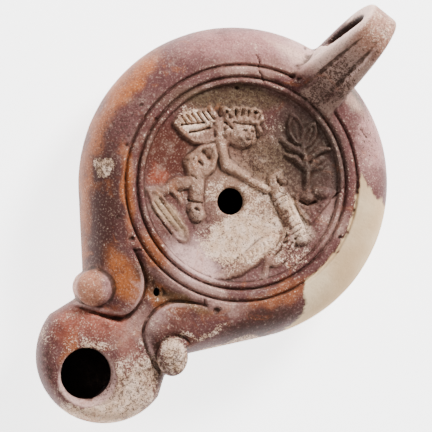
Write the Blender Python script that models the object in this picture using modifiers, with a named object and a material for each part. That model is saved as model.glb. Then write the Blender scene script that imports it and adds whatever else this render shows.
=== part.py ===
"""A Roman picture lamp of fired clay, in metres, +Z up.

The lamp stands with its flat base on z = 0 and the base's centre at the origin. The nozzle points
along -Y and the ring handle along +Y. It is hollow: the oil chamber runs on into the nozzle.
"""
import math

import bmesh
import bpy
from mathutils import Matrix, Vector

# Body
BODY_RADIUS = 0.0415
SEAM_HEIGHT = 0.015
RIM_HEIGHT = 0.0280
BASE_RADIUS = 0.021
BASE_GROOVE_RADIUS = 0.0175
BASE_GROOVE_WIDTH = 0.0012
BASE_GROOVE_DEPTH = 0.0006
WALL = 0.0030
BODY_STEPS = 56
RIM_DROP = 0.0006

# Discus and its rings
DISCUS_RADIUS = 0.0262
DISCUS_DEPTH = 0.0046
RING_PITCH = 0.0015
RING_DEPTH = 0.0010
FILLING_HOLE_RADIUS = 0.0032
FILLING_HOLE_SHIFT = (0.0009, -0.0053)
AIR_HOLE_RADIUS = 0.0007
AIR_HOLE_SIDE = -0.0004
AIR_HOLE_SETBACK = 0.0040

# Nozzle
NOZZLE_OVERHANG = 0.0336
NOZZLE_RADIUS = 0.0179
NOZZLE_TOP = 0.0232
NOZZLE_BOTTOM = 0.0050
NOZZLE_BASE_RADIUS = 0.0085
WICK_HOLE_RADIUS = 0.0065
WICK_HOLE_SHIFT = 0.0078
WICK_HOLE_SIDE = -0.0009
WICK_LIP = 0.0012
NECK_HALF_WIDTH = 0.0024
NECK_ROOT_SINK = 0.0055
NECK_ROOT_RADIUS = 0.0100
NECK_BOTTOM = 0.0035
PLATE_SINK = 0.0003

# Volutes
LOBE_RADIUS = 0.0080
LOBE_HEIGHT = 0.0016
LOBE_SETBACK = 0.0035
PANEL_RISE = 0.0022
KNOB_OFFSET = 0.0140
KNOB_SETBACK = 0.0107
KNOB_RADIUS = 0.0040
KNOB_HEIGHT = 0.0022
VOLUTE_END_RADIUS = 0.0015

# Ring handle
HANDLE_OVERHANG = 0.0162
HANDLE_TOP = 0.0460
HANDLE_THICKNESS = 0.0046
HANDLE_WIDTH = 0.0086
HANDLE_ROOT_WIDTH = 0.0136
HANDLE_GROOVE_DEPTH = 0.0007
HANDLE_LEAN = 0.0015

# The picture stands askew on the discus, turned this far anticlockwise about the lamp's axis
PICTURE_TURN = math.radians(37.6)
RELIEF_HEIGHT = 0.0016

# Places that follow from the sizes above
NOZZLE_REACH = BODY_RADIUS + NOZZLE_OVERHANG - NOZZLE_RADIUS
KNOB_REACH = NOZZLE_REACH - KNOB_SETBACK
RIM_RADIUS = DISCUS_RADIUS + 4.0 * RING_PITCH
LOBE_TOP = NOZZLE_TOP + LOBE_HEIGHT
DISCUS_FLOOR = RIM_HEIGHT - DISCUS_DEPTH
CLEAR = 0.010
WELD = 0.000005
FLAT = math.radians(0.2)
SLIP_COLOUR = (0.42, 0.22, 0.17, 1.0)


def clear_scene():
    for item in list(bpy.data.objects):
        bpy.data.objects.remove(item)


def new_collection(name):
    made = bpy.data.collections.new(name)
    bpy.context.scene.collection.children.link(made)
    return made


clear_scene()
LAMP = new_collection("roman_oil_lamp")
CUTTERS = new_collection("cutters")


def fired_clay():
    clay = bpy.data.materials.new("fired_clay")
    clay.use_nodes = True
    shader = clay.node_tree.nodes["Principled BSDF"]
    shader.inputs["Base Color"].default_value = SLIP_COLOUR
    shader.inputs["Roughness"].default_value = 0.6
    shader.inputs["Metallic"].default_value = 0.0
    return clay


def add_object(name, mesh, collection=CUTTERS):
    """Every helper solid is a hidden guide, and only the lamp itself is drawn."""
    made = bpy.data.objects.new(name, mesh)
    collection.objects.link(made)
    if collection is CUTTERS:
        made.hide_render = True
        made.display_type = "WIRE"
    return made


def finished_mesh(source):
    """The evaluated mesh of an object with its modifiers, welded, in triangles, and the object removed."""
    bpy.context.view_layer.update()
    graph = bpy.context.evaluated_depsgraph_get()
    mesh = bpy.data.meshes.new_from_object(source.evaluated_get(graph))
    shell = bmesh.new()
    shell.from_mesh(mesh)
    bmesh.ops.remove_doubles(shell, verts=shell.verts, dist=WELD)
    bmesh.ops.dissolve_degenerate(shell, edges=shell.edges, dist=WELD)
    bmesh.ops.triangulate(shell, faces=shell.faces)
    bmesh.ops.recalc_face_normals(shell, faces=shell.faces)
    shell.to_mesh(mesh)
    shell.free()
    mesh.transform(source.matrix_world)
    bpy.data.objects.remove(source)
    return mesh


def turned(name, outline, centre=(0.0, 0.0), steps=BODY_STEPS):
    """A solid turned about an upright axis. The outline runs from the axis down its outer side."""
    mesh = bpy.data.meshes.new(name)
    points = [(radius, 0.0, height) for radius, height in outline]
    edges = [(i, i + 1) for i in range(len(points) - 1)]
    mesh.from_pydata(points, edges, [])
    profile = add_object(name, mesh)
    screw = profile.modifiers.new("turn", "SCREW")
    screw.steps = steps
    screw.render_steps = steps
    screw.use_merge_vertices = True
    screw.merge_threshold = WELD
    solid = add_object(name, finished_mesh(profile))
    solid.data.transform(Matrix.Translation((centre[0], centre[1], 0.0)))
    return solid


def hull_of(name, sources):
    """The tight skin around several solids, which it replaces."""
    skin = bmesh.new()
    for source in sources:
        for vert in source.data.vertices:
            skin.verts.new(vert.co)
        bpy.data.objects.remove(source)
    bmesh.ops.remove_doubles(skin, verts=skin.verts, dist=WELD)
    bmesh.ops.convex_hull(skin, input=skin.verts)
    inside = [vert for vert in skin.verts if not vert.link_faces]
    bmesh.ops.delete(skin, geom=inside, context="VERTS")
    bmesh.ops.dissolve_limit(skin, angle_limit=FLAT, verts=skin.verts, edges=skin.edges)
    bmesh.ops.triangulate(skin, faces=skin.faces)
    bmesh.ops.recalc_face_normals(skin, faces=skin.faces)
    mesh = bpy.data.meshes.new(name)
    skin.to_mesh(mesh)
    skin.free()
    return add_object(name, mesh)


def side_profile(offset, count):
    """Points (radius, height) down the body's side, moved inwards by offset."""
    points = []
    for i in range(count + 1):
        turn = math.pi / 2.0 * (1.0 - i / count)
        radius = RIM_RADIUS + (BODY_RADIUS - RIM_RADIUS) * math.cos(turn) ** 0.9
        height = SEAM_HEIGHT + (RIM_HEIGHT - RIM_DROP - SEAM_HEIGHT) * math.sin(turn) ** 0.9
        points.append((radius - offset * math.cos(turn), height - offset * math.sin(turn)))
    for i in range(1, count + 1):
        turn = math.pi / 2.0 * i / count
        radius = BASE_RADIUS + (BODY_RADIUS - BASE_RADIUS) * math.cos(turn) ** 0.75
        height = SEAM_HEIGHT * (1.0 - math.sin(turn) ** 1.15)
        points.append((radius - offset * math.cos(turn), height + offset * math.sin(turn)))
    return points


def body_outline():
    crown = [(0.0, RIM_HEIGHT + RING_DEPTH), (RIM_RADIUS - 2.0 * RING_PITCH, RIM_HEIGHT + RIM_DROP)]
    return crown + side_profile(0.0, 6) + [(0.0, 0.0)]


def floor_height(radius):
    """The discus floor is a shallow dish that turns up towards its rings."""
    share = min(radius / DISCUS_RADIUS, 1.0)
    return DISCUS_FLOOR + 0.60 * DISCUS_DEPTH * share ** 3


def discus_outline():
    """The cutter over the discus and its rings: its underside is the lamp's top surface."""
    top = RIM_HEIGHT + CLEAR
    edge = DISCUS_RADIUS
    pitch = RING_PITCH
    outer = [
        (edge + 5.6 * pitch, top),
        (edge + 5.6 * pitch, RIM_HEIGHT + 1.2 * RING_DEPTH),
        (edge + 3.9 * pitch, RIM_HEIGHT - 0.30 * RING_DEPTH),
        (edge + 3.2 * pitch, RIM_HEIGHT - 1.20 * RING_DEPTH),
        (edge + 2.7 * pitch, RIM_HEIGHT - 0.20 * RING_DEPTH),
        (edge + 2.1 * pitch, RIM_HEIGHT),
        (edge + 1.5 * pitch, RIM_HEIGHT - 0.25 * RING_DEPTH),
        (edge + 1.0 * pitch, RIM_HEIGHT - 1.35 * RING_DEPTH),
        (edge + 0.6 * pitch, RIM_HEIGHT - 0.75 * RING_DEPTH),
        (edge + 0.3 * pitch, RIM_HEIGHT - 0.75 * RING_DEPTH),
    ]
    shares = (1.0, 0.90, 0.75, 0.50, 0.25)
    inner = [(share * edge, floor_height(share * edge)) for share in shares]
    return [(0.0, top)] + outer + inner + [(0.0, DISCUS_FLOOR)]


def volute_end(side):
    """The narrow front end of a volute, that the body's skin runs out to inside its knob."""
    centre = (side * (KNOB_OFFSET - 0.4 * KNOB_RADIUS), -KNOB_REACH)
    outline = [
        (0.0, LOBE_TOP),
        (VOLUTE_END_RADIUS, LOBE_TOP - 0.1 * KNOB_RADIUS),
        (VOLUTE_END_RADIUS, SEAM_HEIGHT - 0.5 * KNOB_RADIUS),
        (0.0, SEAM_HEIGHT - 1.5 * KNOB_RADIUS),
    ]
    return turned("volute_end", outline, centre, 16)


def knob_drum(side):
    """The round wall of a knob, which stands out from the body's side down to the seam."""
    radius = KNOB_RADIUS
    outline = [
        (0.0, LOBE_TOP - 0.075 * radius),
        (0.85 * radius, LOBE_TOP - 0.075 * radius),
        (radius, LOBE_TOP - 0.3 * radius),
        (radius, SEAM_HEIGHT + 0.125 * radius),
        (0.5 * radius, SEAM_HEIGHT - 0.875 * radius),
        (0.0, SEAM_HEIGHT - radius),
    ]
    return turned("knob_drum", outline, (side * KNOB_OFFSET, -KNOB_REACH), 20)


def body_skin():
    round_body = turned("round_body", body_outline())
    return hull_of("body_skin", [round_body, volute_end(-1.0), volute_end(1.0)])


def nozzle_profile(offset):
    """The nozzle's bowl: flat top, rounded edge, side drawn in to a small flat foot."""
    radius = NOZZLE_RADIUS - offset
    foot = NOZZLE_BASE_RADIUS - 0.5 * offset
    top = NOZZLE_TOP - offset
    bottom = NOZZLE_BOTTOM + offset
    middle = 0.55 * (top + bottom)
    points = [(0.0, top)]
    for i in range(5):
        turn = math.pi / 2.0 * (1.0 - i / 4.0)
        shoulder = 0.30 * radius
        height = middle + (top - middle) * math.sin(turn)
        points.append((radius - shoulder + shoulder * math.cos(turn), height))
    for i in range(1, 5):
        turn = math.pi / 2.0 * i / 4.0
        height = middle - (middle - bottom) * math.sin(turn)
        points.append((foot + (radius - foot) * math.cos(turn), height))
    return points + [(0.0, bottom)]


def neck_drum(offset, width):
    """Where the nozzle grows out of the body, as a drum inside the body's front."""
    reach = BODY_RADIUS - NECK_ROOT_SINK
    top = NOZZLE_TOP - offset
    bottom = NECK_BOTTOM + offset
    outline = [(0.0, top), (width, top), (width, bottom), (0.0, bottom)]
    return turned("neck_drum", outline, (0.0, -reach), 24)


def nozzle_skin():
    bowl = turned("nozzle_bowl", nozzle_profile(0.0), (0.0, -NOZZLE_REACH), 40)
    return hull_of("nozzle_skin", [bowl, neck_drum(0.0, NECK_ROOT_RADIUS)])


def flat_prism(name, points, low, high):
    """A flat outline through the given points, as a smooth 2D curve, from low up to high."""
    curve = bpy.data.curves.new(name, "CURVE")
    curve.dimensions = "2D"
    curve.fill_mode = "BOTH"
    curve.extrude = (high - low) / 2.0
    curve.resolution_u = 4
    spline = curve.splines.new("BEZIER")
    spline.bezier_points.add(len(points) - 1)
    for point, place in zip(spline.bezier_points, points):
        point.co = (place[0], place[1], 0.0)
        point.handle_left_type = "AUTO"
        point.handle_right_type = "AUTO"
    spline.use_cyclic_u = True
    outline = add_object(name, curve)
    outline.location.z = (low + high) / 2.0
    mesh = finished_mesh(outline)
    return add_object(name, mesh)


def panel_half_edge():
    """One side of the sunk panel: along the ring, round the volute's lobe, out past its knob."""
    lobe_x = NECK_HALF_WIDTH + LOBE_RADIUS
    lobe_y = -(KNOB_REACH - LOBE_SETBACK)
    ring = RIM_RADIUS
    pitch = RING_PITCH
    knob = KNOB_RADIUS
    edge = []
    for degrees, share in ((10.0, 0.0), (20.0, 0.0), (31.0, 0.4), (24.0, 1.2), (17.0, 1.9)):
        angle = math.radians(degrees)
        out = share * pitch
        edge.append(((ring + out) * math.sin(angle), -(ring + out) * math.cos(angle)))
    edge.append((NECK_HALF_WIDTH + 2.0 * pitch, -(ring + 2.8 * pitch)))
    for degrees in (155.0, 180.0, 210.0, 240.0, 265.0):
        angle = math.radians(degrees)
        edge.append((lobe_x + LOBE_RADIUS * math.cos(angle), lobe_y + LOBE_RADIUS * math.sin(angle)))
    edge.append((KNOB_OFFSET + 0.55 * knob, -(KNOB_REACH + 1.35 * knob)))
    edge.append((NOZZLE_RADIUS + 1.5 * knob, -(KNOB_REACH + 1.3 * knob)))
    return edge


def panel_cutter():
    """Takes the top off the neck and the nozzle's plate, and leaves the volutes standing."""
    right = panel_half_edge()
    beyond = -(NOZZLE_REACH + NOZZLE_RADIUS + CLEAR)
    right.append((NOZZLE_RADIUS + 1.75 * KNOB_RADIUS, beyond))
    left = [(-x, y) for x, y in reversed(right)]
    floor = NOZZLE_TOP - PLATE_SINK
    points = [(0.0, -RIM_RADIUS)] + right + left
    prism = flat_prism("panel_cutter", points, floor, RIM_HEIGHT + CLEAR)
    rise = PANEL_RISE / (KNOB_REACH - RIM_RADIUS)
    for vert in prism.data.vertices:
        vert.co.z += max(0.0, rise * (vert.co.y + KNOB_REACH))
    return prism


def dome(name, centre, sizes, turn=0.0, segments=12, rings=8):
    """An egg-shaped swelling: a sphere stretched to its half sizes, turned about +Z, then placed."""
    made = bmesh.new()
    bmesh.ops.create_uvsphere(made, u_segments=segments, v_segments=rings, radius=1.0)
    mesh = bpy.data.meshes.new(name)
    made.to_mesh(mesh)
    made.free()
    mesh.transform(Matrix.Diagonal((*sizes, 1.0)))
    mesh.transform(Matrix.Rotation(turn, 4, "Z"))
    mesh.transform(Matrix.Translation(centre))
    return add_object(name, mesh)


def knobs():
    """Left a round boss, right a longer one that its volute curls into."""
    wide = KNOB_RADIUS
    sink = 0.1 * wide
    left = (-KNOB_OFFSET, -KNOB_REACH, LOBE_TOP - sink)
    right = (KNOB_OFFSET - 1.5 * sink, -KNOB_REACH - sink, LOBE_TOP - 1.5 * sink)
    return [
        dome("knob_left", left, (wide, wide, KNOB_HEIGHT + sink), 0.0, 14, 8),
        dome("knob_right", right, (1.05 * wide, 1.30 * wide, KNOB_HEIGHT), PICTURE_TURN, 14, 8),
    ]


def handle_path():
    """Centre line of the ring handle in the lamp's middle plane, as (y, z), root to lower end."""
    thick = HANDLE_THICKNESS
    far = BODY_RADIUS + HANDLE_OVERHANG - 0.5 * thick
    top = HANDLE_TOP - 0.5 * thick
    root = RIM_RADIUS - 0.65 * thick
    rise = top - RIM_HEIGHT
    return [
        (root, RIM_HEIGHT - 0.57 * thick),
        (root + 0.35 * (far - root), RIM_HEIGHT + 0.42 * rise),
        (root + 0.62 * (far - root), RIM_HEIGHT + 0.86 * rise),
        (root + 0.81 * (far - root), top),
        (far - 0.30 * thick, RIM_HEIGHT + 0.78 * rise),
        (far, RIM_HEIGHT + 0.38 * rise),
        (far - 0.43 * thick, RIM_HEIGHT - 0.33 * thick),
        (far - 1.48 * thick, SEAM_HEIGHT + 1.35 * thick),
        (BODY_RADIUS - 0.09 * thick, SEAM_HEIGHT + 0.35 * thick),
        (BODY_RADIUS - 0.87 * thick, SEAM_HEIGHT - 0.22 * thick),
    ]


def smooth_line(points, per_span):
    """Points read from a smooth curve that passes through the given ones."""
    ends = [points[0]] + list(points) + [points[-1]]
    line = []
    for i in range(len(points) - 1):
        a, b, c, d = (Vector(ends[i + k]) for k in range(4))
        for step in range(per_span):
            t = step / per_span
            line.append(0.5 * (2.0 * b + (c - a) * t + (2.0 * a - 5.0 * b + 4.0 * c - d) * t * t
                               + (3.0 * b - a - 3.0 * c + d) * t ** 3))
    line.append(Vector(points[-1]))
    return line


def strap_section(width):
    """Across the strap: a flat inner face, and an outer face of three ridges and two grooves."""
    half = width / 2.0
    thick = HANDLE_THICKNESS / 2.0
    dip = HANDLE_GROOVE_DEPTH
    return [
        (-0.86 * half, -thick), (0.86 * half, -thick), (half, -0.5 * thick), (half, 0.45 * thick),
        (0.78 * half, 0.9 * thick), (0.56 * half, 0.9 * thick), (0.38 * half, 0.95 * thick - dip),
        (0.20 * half, thick), (-0.20 * half, thick), (-0.38 * half, 0.95 * thick - dip),
        (-0.56 * half, 0.9 * thick), (-0.78 * half, 0.9 * thick), (-half, 0.45 * thick),
        (-half, -0.5 * thick),
    ]


def handle():
    """The strap is lofted along its path, because its width runs from the broad root to the ring."""
    path = smooth_line(handle_path(), 2)
    loft = bmesh.new()
    rings = []
    last = len(path) - 1
    for i, place in enumerate(path):
        ahead = path[min(i + 1, last)] - path[max(i - 1, 0)]
        ahead.normalize()
        out = Vector((-ahead.y, ahead.x))
        share = i / last
        flare = max(0.0, 1.0 - share / 0.38) ** 1.3
        width = HANDLE_WIDTH + (HANDLE_ROOT_WIDTH - HANDLE_WIDTH) * flare
        lean = HANDLE_LEAN * math.sin(math.pi * min(share / 0.9, 1.0))
        ring = []
        for across, up in strap_section(width):
            spot = place + out * up
            ring.append(loft.verts.new((across + lean, spot.x, spot.y)))
        rings.append(ring)
    for first, second in zip(rings, rings[1:]):
        for k in range(len(first)):
            following = (k + 1) % len(first)
            loft.faces.new((first[k], first[following], second[following], second[k]))
    loft.faces.new(rings[0])
    loft.faces.new(rings[-1])
    bmesh.ops.recalc_face_normals(loft, faces=loft.faces)
    bmesh.ops.triangulate(loft, faces=loft.faces)
    mesh = bpy.data.meshes.new("handle")
    loft.to_mesh(mesh)
    loft.free()
    return add_object("handle", mesh)


def chamber_outline():
    """The oil chamber keeps the wall's thickness under the discus, the shoulder and the bowl."""
    side = [point for point in side_profile(WALL, 5) if point[1] < RIM_HEIGHT - 1.27 * WALL]
    ceiling = [(share * RIM_RADIUS, floor_height(share * RIM_RADIUS) - WALL) for share in (0.0, 0.45, 0.85)]
    foot = side[-1]
    return ceiling + side[:-1] + [(foot[0] - 0.33 * WALL, WALL), (0.0, WALL)]


def chamber():
    oil = turned("oil_chamber", chamber_outline(), steps=40)
    bowl = turned("nozzle_hollow", nozzle_profile(WALL), (0.0, -NOZZLE_REACH), 28)
    return oil, hull_of("nozzle_channel", [bowl, neck_drum(WALL, 0.75 * NECK_ROOT_RADIUS)])


def hole(name, centre, radius, low, high, lip=0.0, level=0.0):
    """A round hole from low to high, opening out in a bevel of the lip's width at its level."""
    outline = [(0.0, high), (radius + lip, high)]
    if lip > 0.0:
        outline += [(radius + lip, level), (radius, level - lip)]
    outline += [(radius, low), (0.0, low)]
    return turned(name, outline, centre, 32)


def holes():
    inside = SEAM_HEIGHT
    above = RIM_HEIGHT + CLEAR
    wick_y = -(NOZZLE_REACH + WICK_HOLE_SHIFT)
    air_y = -(RIM_RADIUS + AIR_HOLE_SETBACK)
    return [
        hole("filling_hole", FILLING_HOLE_SHIFT, FILLING_HOLE_RADIUS, inside, above),
        hole("wick_hole", (WICK_HOLE_SIDE, wick_y), WICK_HOLE_RADIUS, inside, above, WICK_LIP, NOZZLE_TOP),
        turned("air_hole", [(0.0, above), (AIR_HOLE_RADIUS, above), (AIR_HOLE_RADIUS, inside),
                            (0.0, inside)], (AIR_HOLE_SIDE, air_y), 8),
    ]


def base_groove():
    radius = BASE_GROOVE_RADIUS
    half = BASE_GROOVE_WIDTH / 2.0
    depth = BASE_GROOVE_DEPTH
    ring = bpy.data.meshes.new("base_groove")
    made = bmesh.new()
    corners = [(radius - half, -CLEAR), (radius + half, -CLEAR), (radius + 0.4 * half, depth),
               (radius - 0.4 * half, depth)]
    rings = []
    steps = BODY_STEPS
    for i in range(steps):
        turn = 2.0 * math.pi * i / steps
        rings.append([made.verts.new((r * math.cos(turn), r * math.sin(turn), z)) for r, z in corners])
    for i in range(steps):
        first = rings[i]
        second = rings[(i + 1) % steps]
        for k in range(4):
            j = (k + 1) % 4
            made.faces.new((first[k], first[j], second[j], second[k]))
    bmesh.ops.recalc_face_normals(made, faces=made.faces)
    made.to_mesh(ring)
    made.free()
    return add_object("base_groove", ring)


# The relief. Places and half sizes are shares of the discus radius, in the picture's own frame:
# x to its right, y up, with the picture turned on the lamp.


def on_discus(x, y, lift=0.0):
    """A place in the picture, on the discus floor, lifted by a share of the relief's height."""
    spot = Matrix.Rotation(PICTURE_TURN, 2) @ Vector((x, y)) * DISCUS_RADIUS
    return Vector((spot.x, spot.y, floor_height(spot.length) + lift * RELIEF_HEIGHT))


def swelling(name, x, y, half_length, half_width, degrees=0.0, height=1.0):
    """A rounded mass of the relief, its long axis turned from the picture's own x axis."""
    sizes = (half_length * DISCUS_RADIUS, half_width * DISCUS_RADIUS, height * RELIEF_HEIGHT)
    return dome(name, on_discus(x, y), sizes, PICTURE_TURN + math.radians(degrees), 10, 6)


def limb(name, points, widths, height=1.0):
    """A limb, branch or feather: a tapered strip with round ends along points of the picture."""
    curve = bpy.data.curves.new(name, "CURVE")
    curve.dimensions = "3D"
    curve.bevel_depth = 1.0
    curve.bevel_resolution = 1
    curve.use_fill_caps = True
    line = [Vector(point) for point in points]
    first = line[0] + (line[0] - line[1]).normalized() * 0.6 * widths[0]
    last = line[-1] + (line[-1] - line[-2]).normalized() * 0.6 * widths[-1]
    line = [first] + line + [last]
    widths = [0.5 * widths[0]] + list(widths) + [0.5 * widths[-1]]
    spline = curve.splines.new("POLY")
    spline.points.add(len(line) - 1)
    for point, place, width in zip(spline.points, line, widths):
        radius = width * DISCUS_RADIUS
        lift = min(height * RELIEF_HEIGHT - radius, 0.6 * radius)
        point.co = (*on_discus(place.x, place.y, lift / RELIEF_HEIGHT), 1.0)
        point.radius = radius
    return add_object(name, finished_mesh(add_object(name, curve)))


def winged_boy():
    """A stooping winged boy: wing, curly head, bent arm, thigh and legs."""
    made = [
        swelling("wing", -0.42, 0.56, 0.23, 0.125, -10.0, 0.75),
        swelling("shoulder_blade", -0.27, 0.53, 0.12, 0.14, 0.0, 1.0),
        swelling("head", -0.03, 0.51, 0.165, 0.19, 20.0, 1.6),
        swelling("brow_curls", -0.03, 0.655, 0.17, 0.075, 8.0, 1.8),
        swelling("crown_curls", -0.13, 0.60, 0.09, 0.10, 0.0, 1.7),
        swelling("chest", -0.23, 0.38, 0.12, 0.12, -35.0, 1.1),
        swelling("thigh", -0.40, 0.23, 0.17, 0.135, 55.0, 1.15),
        swelling("hip", -0.33, 0.30, 0.12, 0.10, 20.0, 1.05),
        swelling("knee", -0.47, -0.31, 0.075, 0.095, 20.0, 1.2),
        limb("upper_arm", [(-0.20, 0.46), (-0.15, 0.30), (-0.12, 0.17)], [0.055, 0.055, 0.05], 1.1),
        limb("forearm", [(-0.11, 0.18), (0.08, 0.07), (0.27, -0.04)], [0.05, 0.04, 0.045], 0.9),
        limb("shin", [(-0.46, 0.16), (-0.48, 0.0), (-0.46, -0.24)], [0.085, 0.075, 0.06], 1.15),
        limb("far_leg", [(-0.53, 0.02), (-0.65, -0.03), (-0.74, -0.08)], [0.065, 0.06, 0.05], 0.9),
    ]
    for i in range(5):
        x = -0.63 + 0.075 * i
        y = 0.655 + 0.014 * i
        made.append(limb(f"feather_{i}", [(x, y), (x + 0.05, y - 0.08)], [0.026, 0.032], 1.15))
    return made


def goose():
    """The bird that the boy holds: a slanting neck, a body and a long tapered wing."""
    return [
        limb("goose_neck", [(0.28, 0.03), (0.42, -0.12), (0.53, -0.36), (0.62, -0.56)],
             [0.06, 0.085, 0.085, 0.08], 1.35),
        swelling("goose_body", 0.51, -0.69, 0.16, 0.10, 52.0, 1.2),
        limb("goose_wing", [(0.30, -0.60), (0.18, -0.72), (0.0, -0.83), (-0.22, -0.90)],
             [0.06, 0.08, 0.065, 0.03], 1.0),
        limb("goose_leg", [(0.27, -0.74), (0.25, -0.93)], [0.035, 0.028], 0.7),
    ]


def tree():
    """A small tree on a rock: trunk, two branches and six leaves."""
    leaves = [(0.57, 0.54, 100.0, 0.13), (0.69, 0.49, 70.0, 0.10), (0.53, 0.35, 145.0, 0.09),
              (0.56, 0.20, 140.0, 0.10), (0.77, 0.27, 50.0, 0.10), (0.80, 0.16, 30.0, 0.11)]
    made = [
        limb("trunk", [(0.68, -0.20), (0.67, 0.06), (0.63, 0.36)], [0.035, 0.032, 0.025], 0.8),
        swelling("rock_left", 0.69, -0.25, 0.13, 0.14, 60.0, 0.9),
        swelling("rock_right", 0.81, -0.15, 0.15, 0.11, 25.0, 1.0),
    ]
    for i, (x, y, degrees, half_length) in enumerate(leaves):
        made.append(swelling(f"leaf_{i}", x, y, half_length, 0.05, degrees, 0.8))
    return made


def wineskin():
    return [swelling("wineskin", -0.72, -0.34, 0.34, 0.095, -50.0, 0.7)]


def combine(target, others, operation):
    """Boolean steps on the target, one for each other solid, in the given order."""
    for other in others:
        step = target.modifiers.new(other.name, "BOOLEAN")
        step.operation = operation
        step.solver = "EXACT"
        step.object = other


def lamp():
    body = body_skin()
    combine(body, [panel_cutter()], "DIFFERENCE")
    combine(body, [nozzle_skin()], "UNION")
    combine(body, [turned("discus_cutter", discus_outline())], "DIFFERENCE")
    combine(body, [handle(), knob_drum(-1.0), knob_drum(1.0)] + knobs(), "UNION")
    combine(body, winged_boy() + goose() + tree() + wineskin(), "UNION")
    combine(body, list(chamber()) + holes() + [base_groove()], "DIFFERENCE")
    made = add_object("oil_lamp", finished_mesh(body), LAMP)
    made.data.materials.clear()
    made.data.materials.append(fired_clay())
    made.data.shade_smooth()
    made.data.set_sharp_from_angle(angle=math.radians(40.0))
    return made


lamp()
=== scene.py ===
"""Visual model of a Roman picture lamp: one fired clay body with its relief, patina, dirt and repair.

The body is described as a distance to its surface, in millimetres, from outlines that are turned,
lofted or drawn flat. The zero level is meshed, weathered by a node tree and finished with one
procedural material that reads what the maker's passes left on the clay as attributes, with painted
shade in the hollows and the finger hole, a painted cast shadow and painted highlights among them.
"""
import math

import bmesh
import bpy
import numpy as np
from mathutils import Matrix, Vector


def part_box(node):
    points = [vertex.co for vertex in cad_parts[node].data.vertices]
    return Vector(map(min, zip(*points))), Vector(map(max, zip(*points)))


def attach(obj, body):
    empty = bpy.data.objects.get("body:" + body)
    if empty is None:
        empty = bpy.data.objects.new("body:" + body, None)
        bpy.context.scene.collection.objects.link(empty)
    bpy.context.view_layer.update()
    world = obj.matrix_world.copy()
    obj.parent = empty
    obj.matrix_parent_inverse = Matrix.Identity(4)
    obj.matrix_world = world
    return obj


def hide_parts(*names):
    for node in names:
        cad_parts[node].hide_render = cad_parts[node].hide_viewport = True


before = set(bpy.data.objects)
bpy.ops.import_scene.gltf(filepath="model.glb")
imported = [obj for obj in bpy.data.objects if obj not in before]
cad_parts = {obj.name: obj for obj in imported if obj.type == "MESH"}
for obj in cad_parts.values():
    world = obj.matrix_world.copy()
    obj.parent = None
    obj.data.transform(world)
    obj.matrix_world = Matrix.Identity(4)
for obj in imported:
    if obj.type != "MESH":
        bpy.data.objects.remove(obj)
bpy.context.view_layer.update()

MM = 0.001
low, high = (np.array(corner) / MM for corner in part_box("oil_lamp"))

# Driving sizes in millimetres. The three that reach the frame's box keep a hair inside it.
SKIN = 0.15
BODY_RADIUS = 0.5 * (high[0] - low[0]) - SKIN
NOZZLE_END = -low[1] - SKIN
HANDLE_END = high[1] - SKIN
HANDLE_TOP = high[2] - SKIN

SEAM_HEIGHT = 15.0
RIM_HEIGHT = 28.0
BASE_RADIUS = 21.0
BASE_GROOVE_RADIUS = 17.5
WALL = 3.0
RELIEF = 0.90
DISCUS_RADIUS = 26.2
DISCUS_DEPTH = 4.6
RIM_RADIUS = 32.2
FILLING_HOLE = (1.2, -5.1, 3.55)
WICK_HOLE = (-1.8, -64.1, 6.7)
AIR_HOLE = (-0.3, -36.1)
HOLES_END = 15.0
NOZZLE_RADIUS = 17.9
NOZZLE_REACH = NOZZLE_END - NOZZLE_RADIUS
NOZZLE_TOP = 23.2
NOZZLE_BOTTOM = 5.0
NOZZLE_FOOT = 8.5
NOZZLE_ROOT = -36.0
LOBE_TOP = 24.8
LEFT_KNOB = (-13.9, -45.2)
RIGHT_KNOB = (13.5, -46.9)
KNOB_FOOT = 11.4
HANDLE_THICKNESS = 4.6
HANDLE_WIDTH = 8.6
HANDLE_ROOT_WIDTH = 13.6
HANDLE_LEAN = 1.5
STRAP_CORNER = 1.5
WEB_REACH = 42.0
DISCUS_FLOOR = RIM_HEIGHT - DISCUS_DEPTH

# The photograph's axes as seen on the lamp: its picture and its wear are placed by them
PICTURE_TURN = math.radians(37.6)
PHOTO_RIGHT = (math.cos(PICTURE_TURN), math.sin(PICTURE_TURN))
PHOTO_UP = (-math.sin(PICTURE_TURN), math.cos(PICTURE_TURN))

# Spacing of the grid that the clay is meshed on: across the discus, beside it, and upwards
FINE_PITCH = 0.34
COARSE_PITCH = 0.60
UPWARD_PITCH = 0.5
SETTLING_ROUNDS = 3
MOST_FACES = 190000
MOST_MENDINGS = 12


# Distances

FAR = 1e9
TINY = 1e-12


def smooth_max(a, b, blend):
    """The larger of two distances, rounded where they are nearly equal."""
    near = np.clip(1.0 - np.abs(a - b) / blend, 0.0, None)
    return np.maximum(a, b) + near * near * blend * 0.25


def smooth_min(a, b, blend):
    return -smooth_max(-a, -b, blend)


def falling(x, start, end):
    """1 at start, 0 at end, with a soft run between."""
    share = np.clip((x - start) / (end - start), 0.0, 1.0)
    return 1.0 - share * share * (3.0 - 2.0 * share)


def bell(x, width):
    """1 at zero, falling away evenly to both sides."""
    return np.exp(-(x / width) ** 2)


def turned_place(u, v, centre, turn):
    """Places as lengths along and across a direction turned anticlockwise from u."""
    along = (u - centre[0]) * math.cos(turn) + (v - centre[1]) * math.sin(turn)
    across = (v - centre[1]) * math.cos(turn) - (u - centre[0]) * math.sin(turn)
    return along, across


def to_straight(u, v, start, end):
    """The nearest place on a straight piece, as a share of it, and the square of the distance to it."""
    du = end[0] - start[0]
    dv = end[1] - start[1]
    share = np.clip(((u - start[0]) * du + (v - start[1]) * dv) / (du * du + dv * dv + TINY), 0.0, 1.0)
    return share, (u - start[0] - share * du) ** 2 + (v - start[1] - share * dv) ** 2


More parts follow.
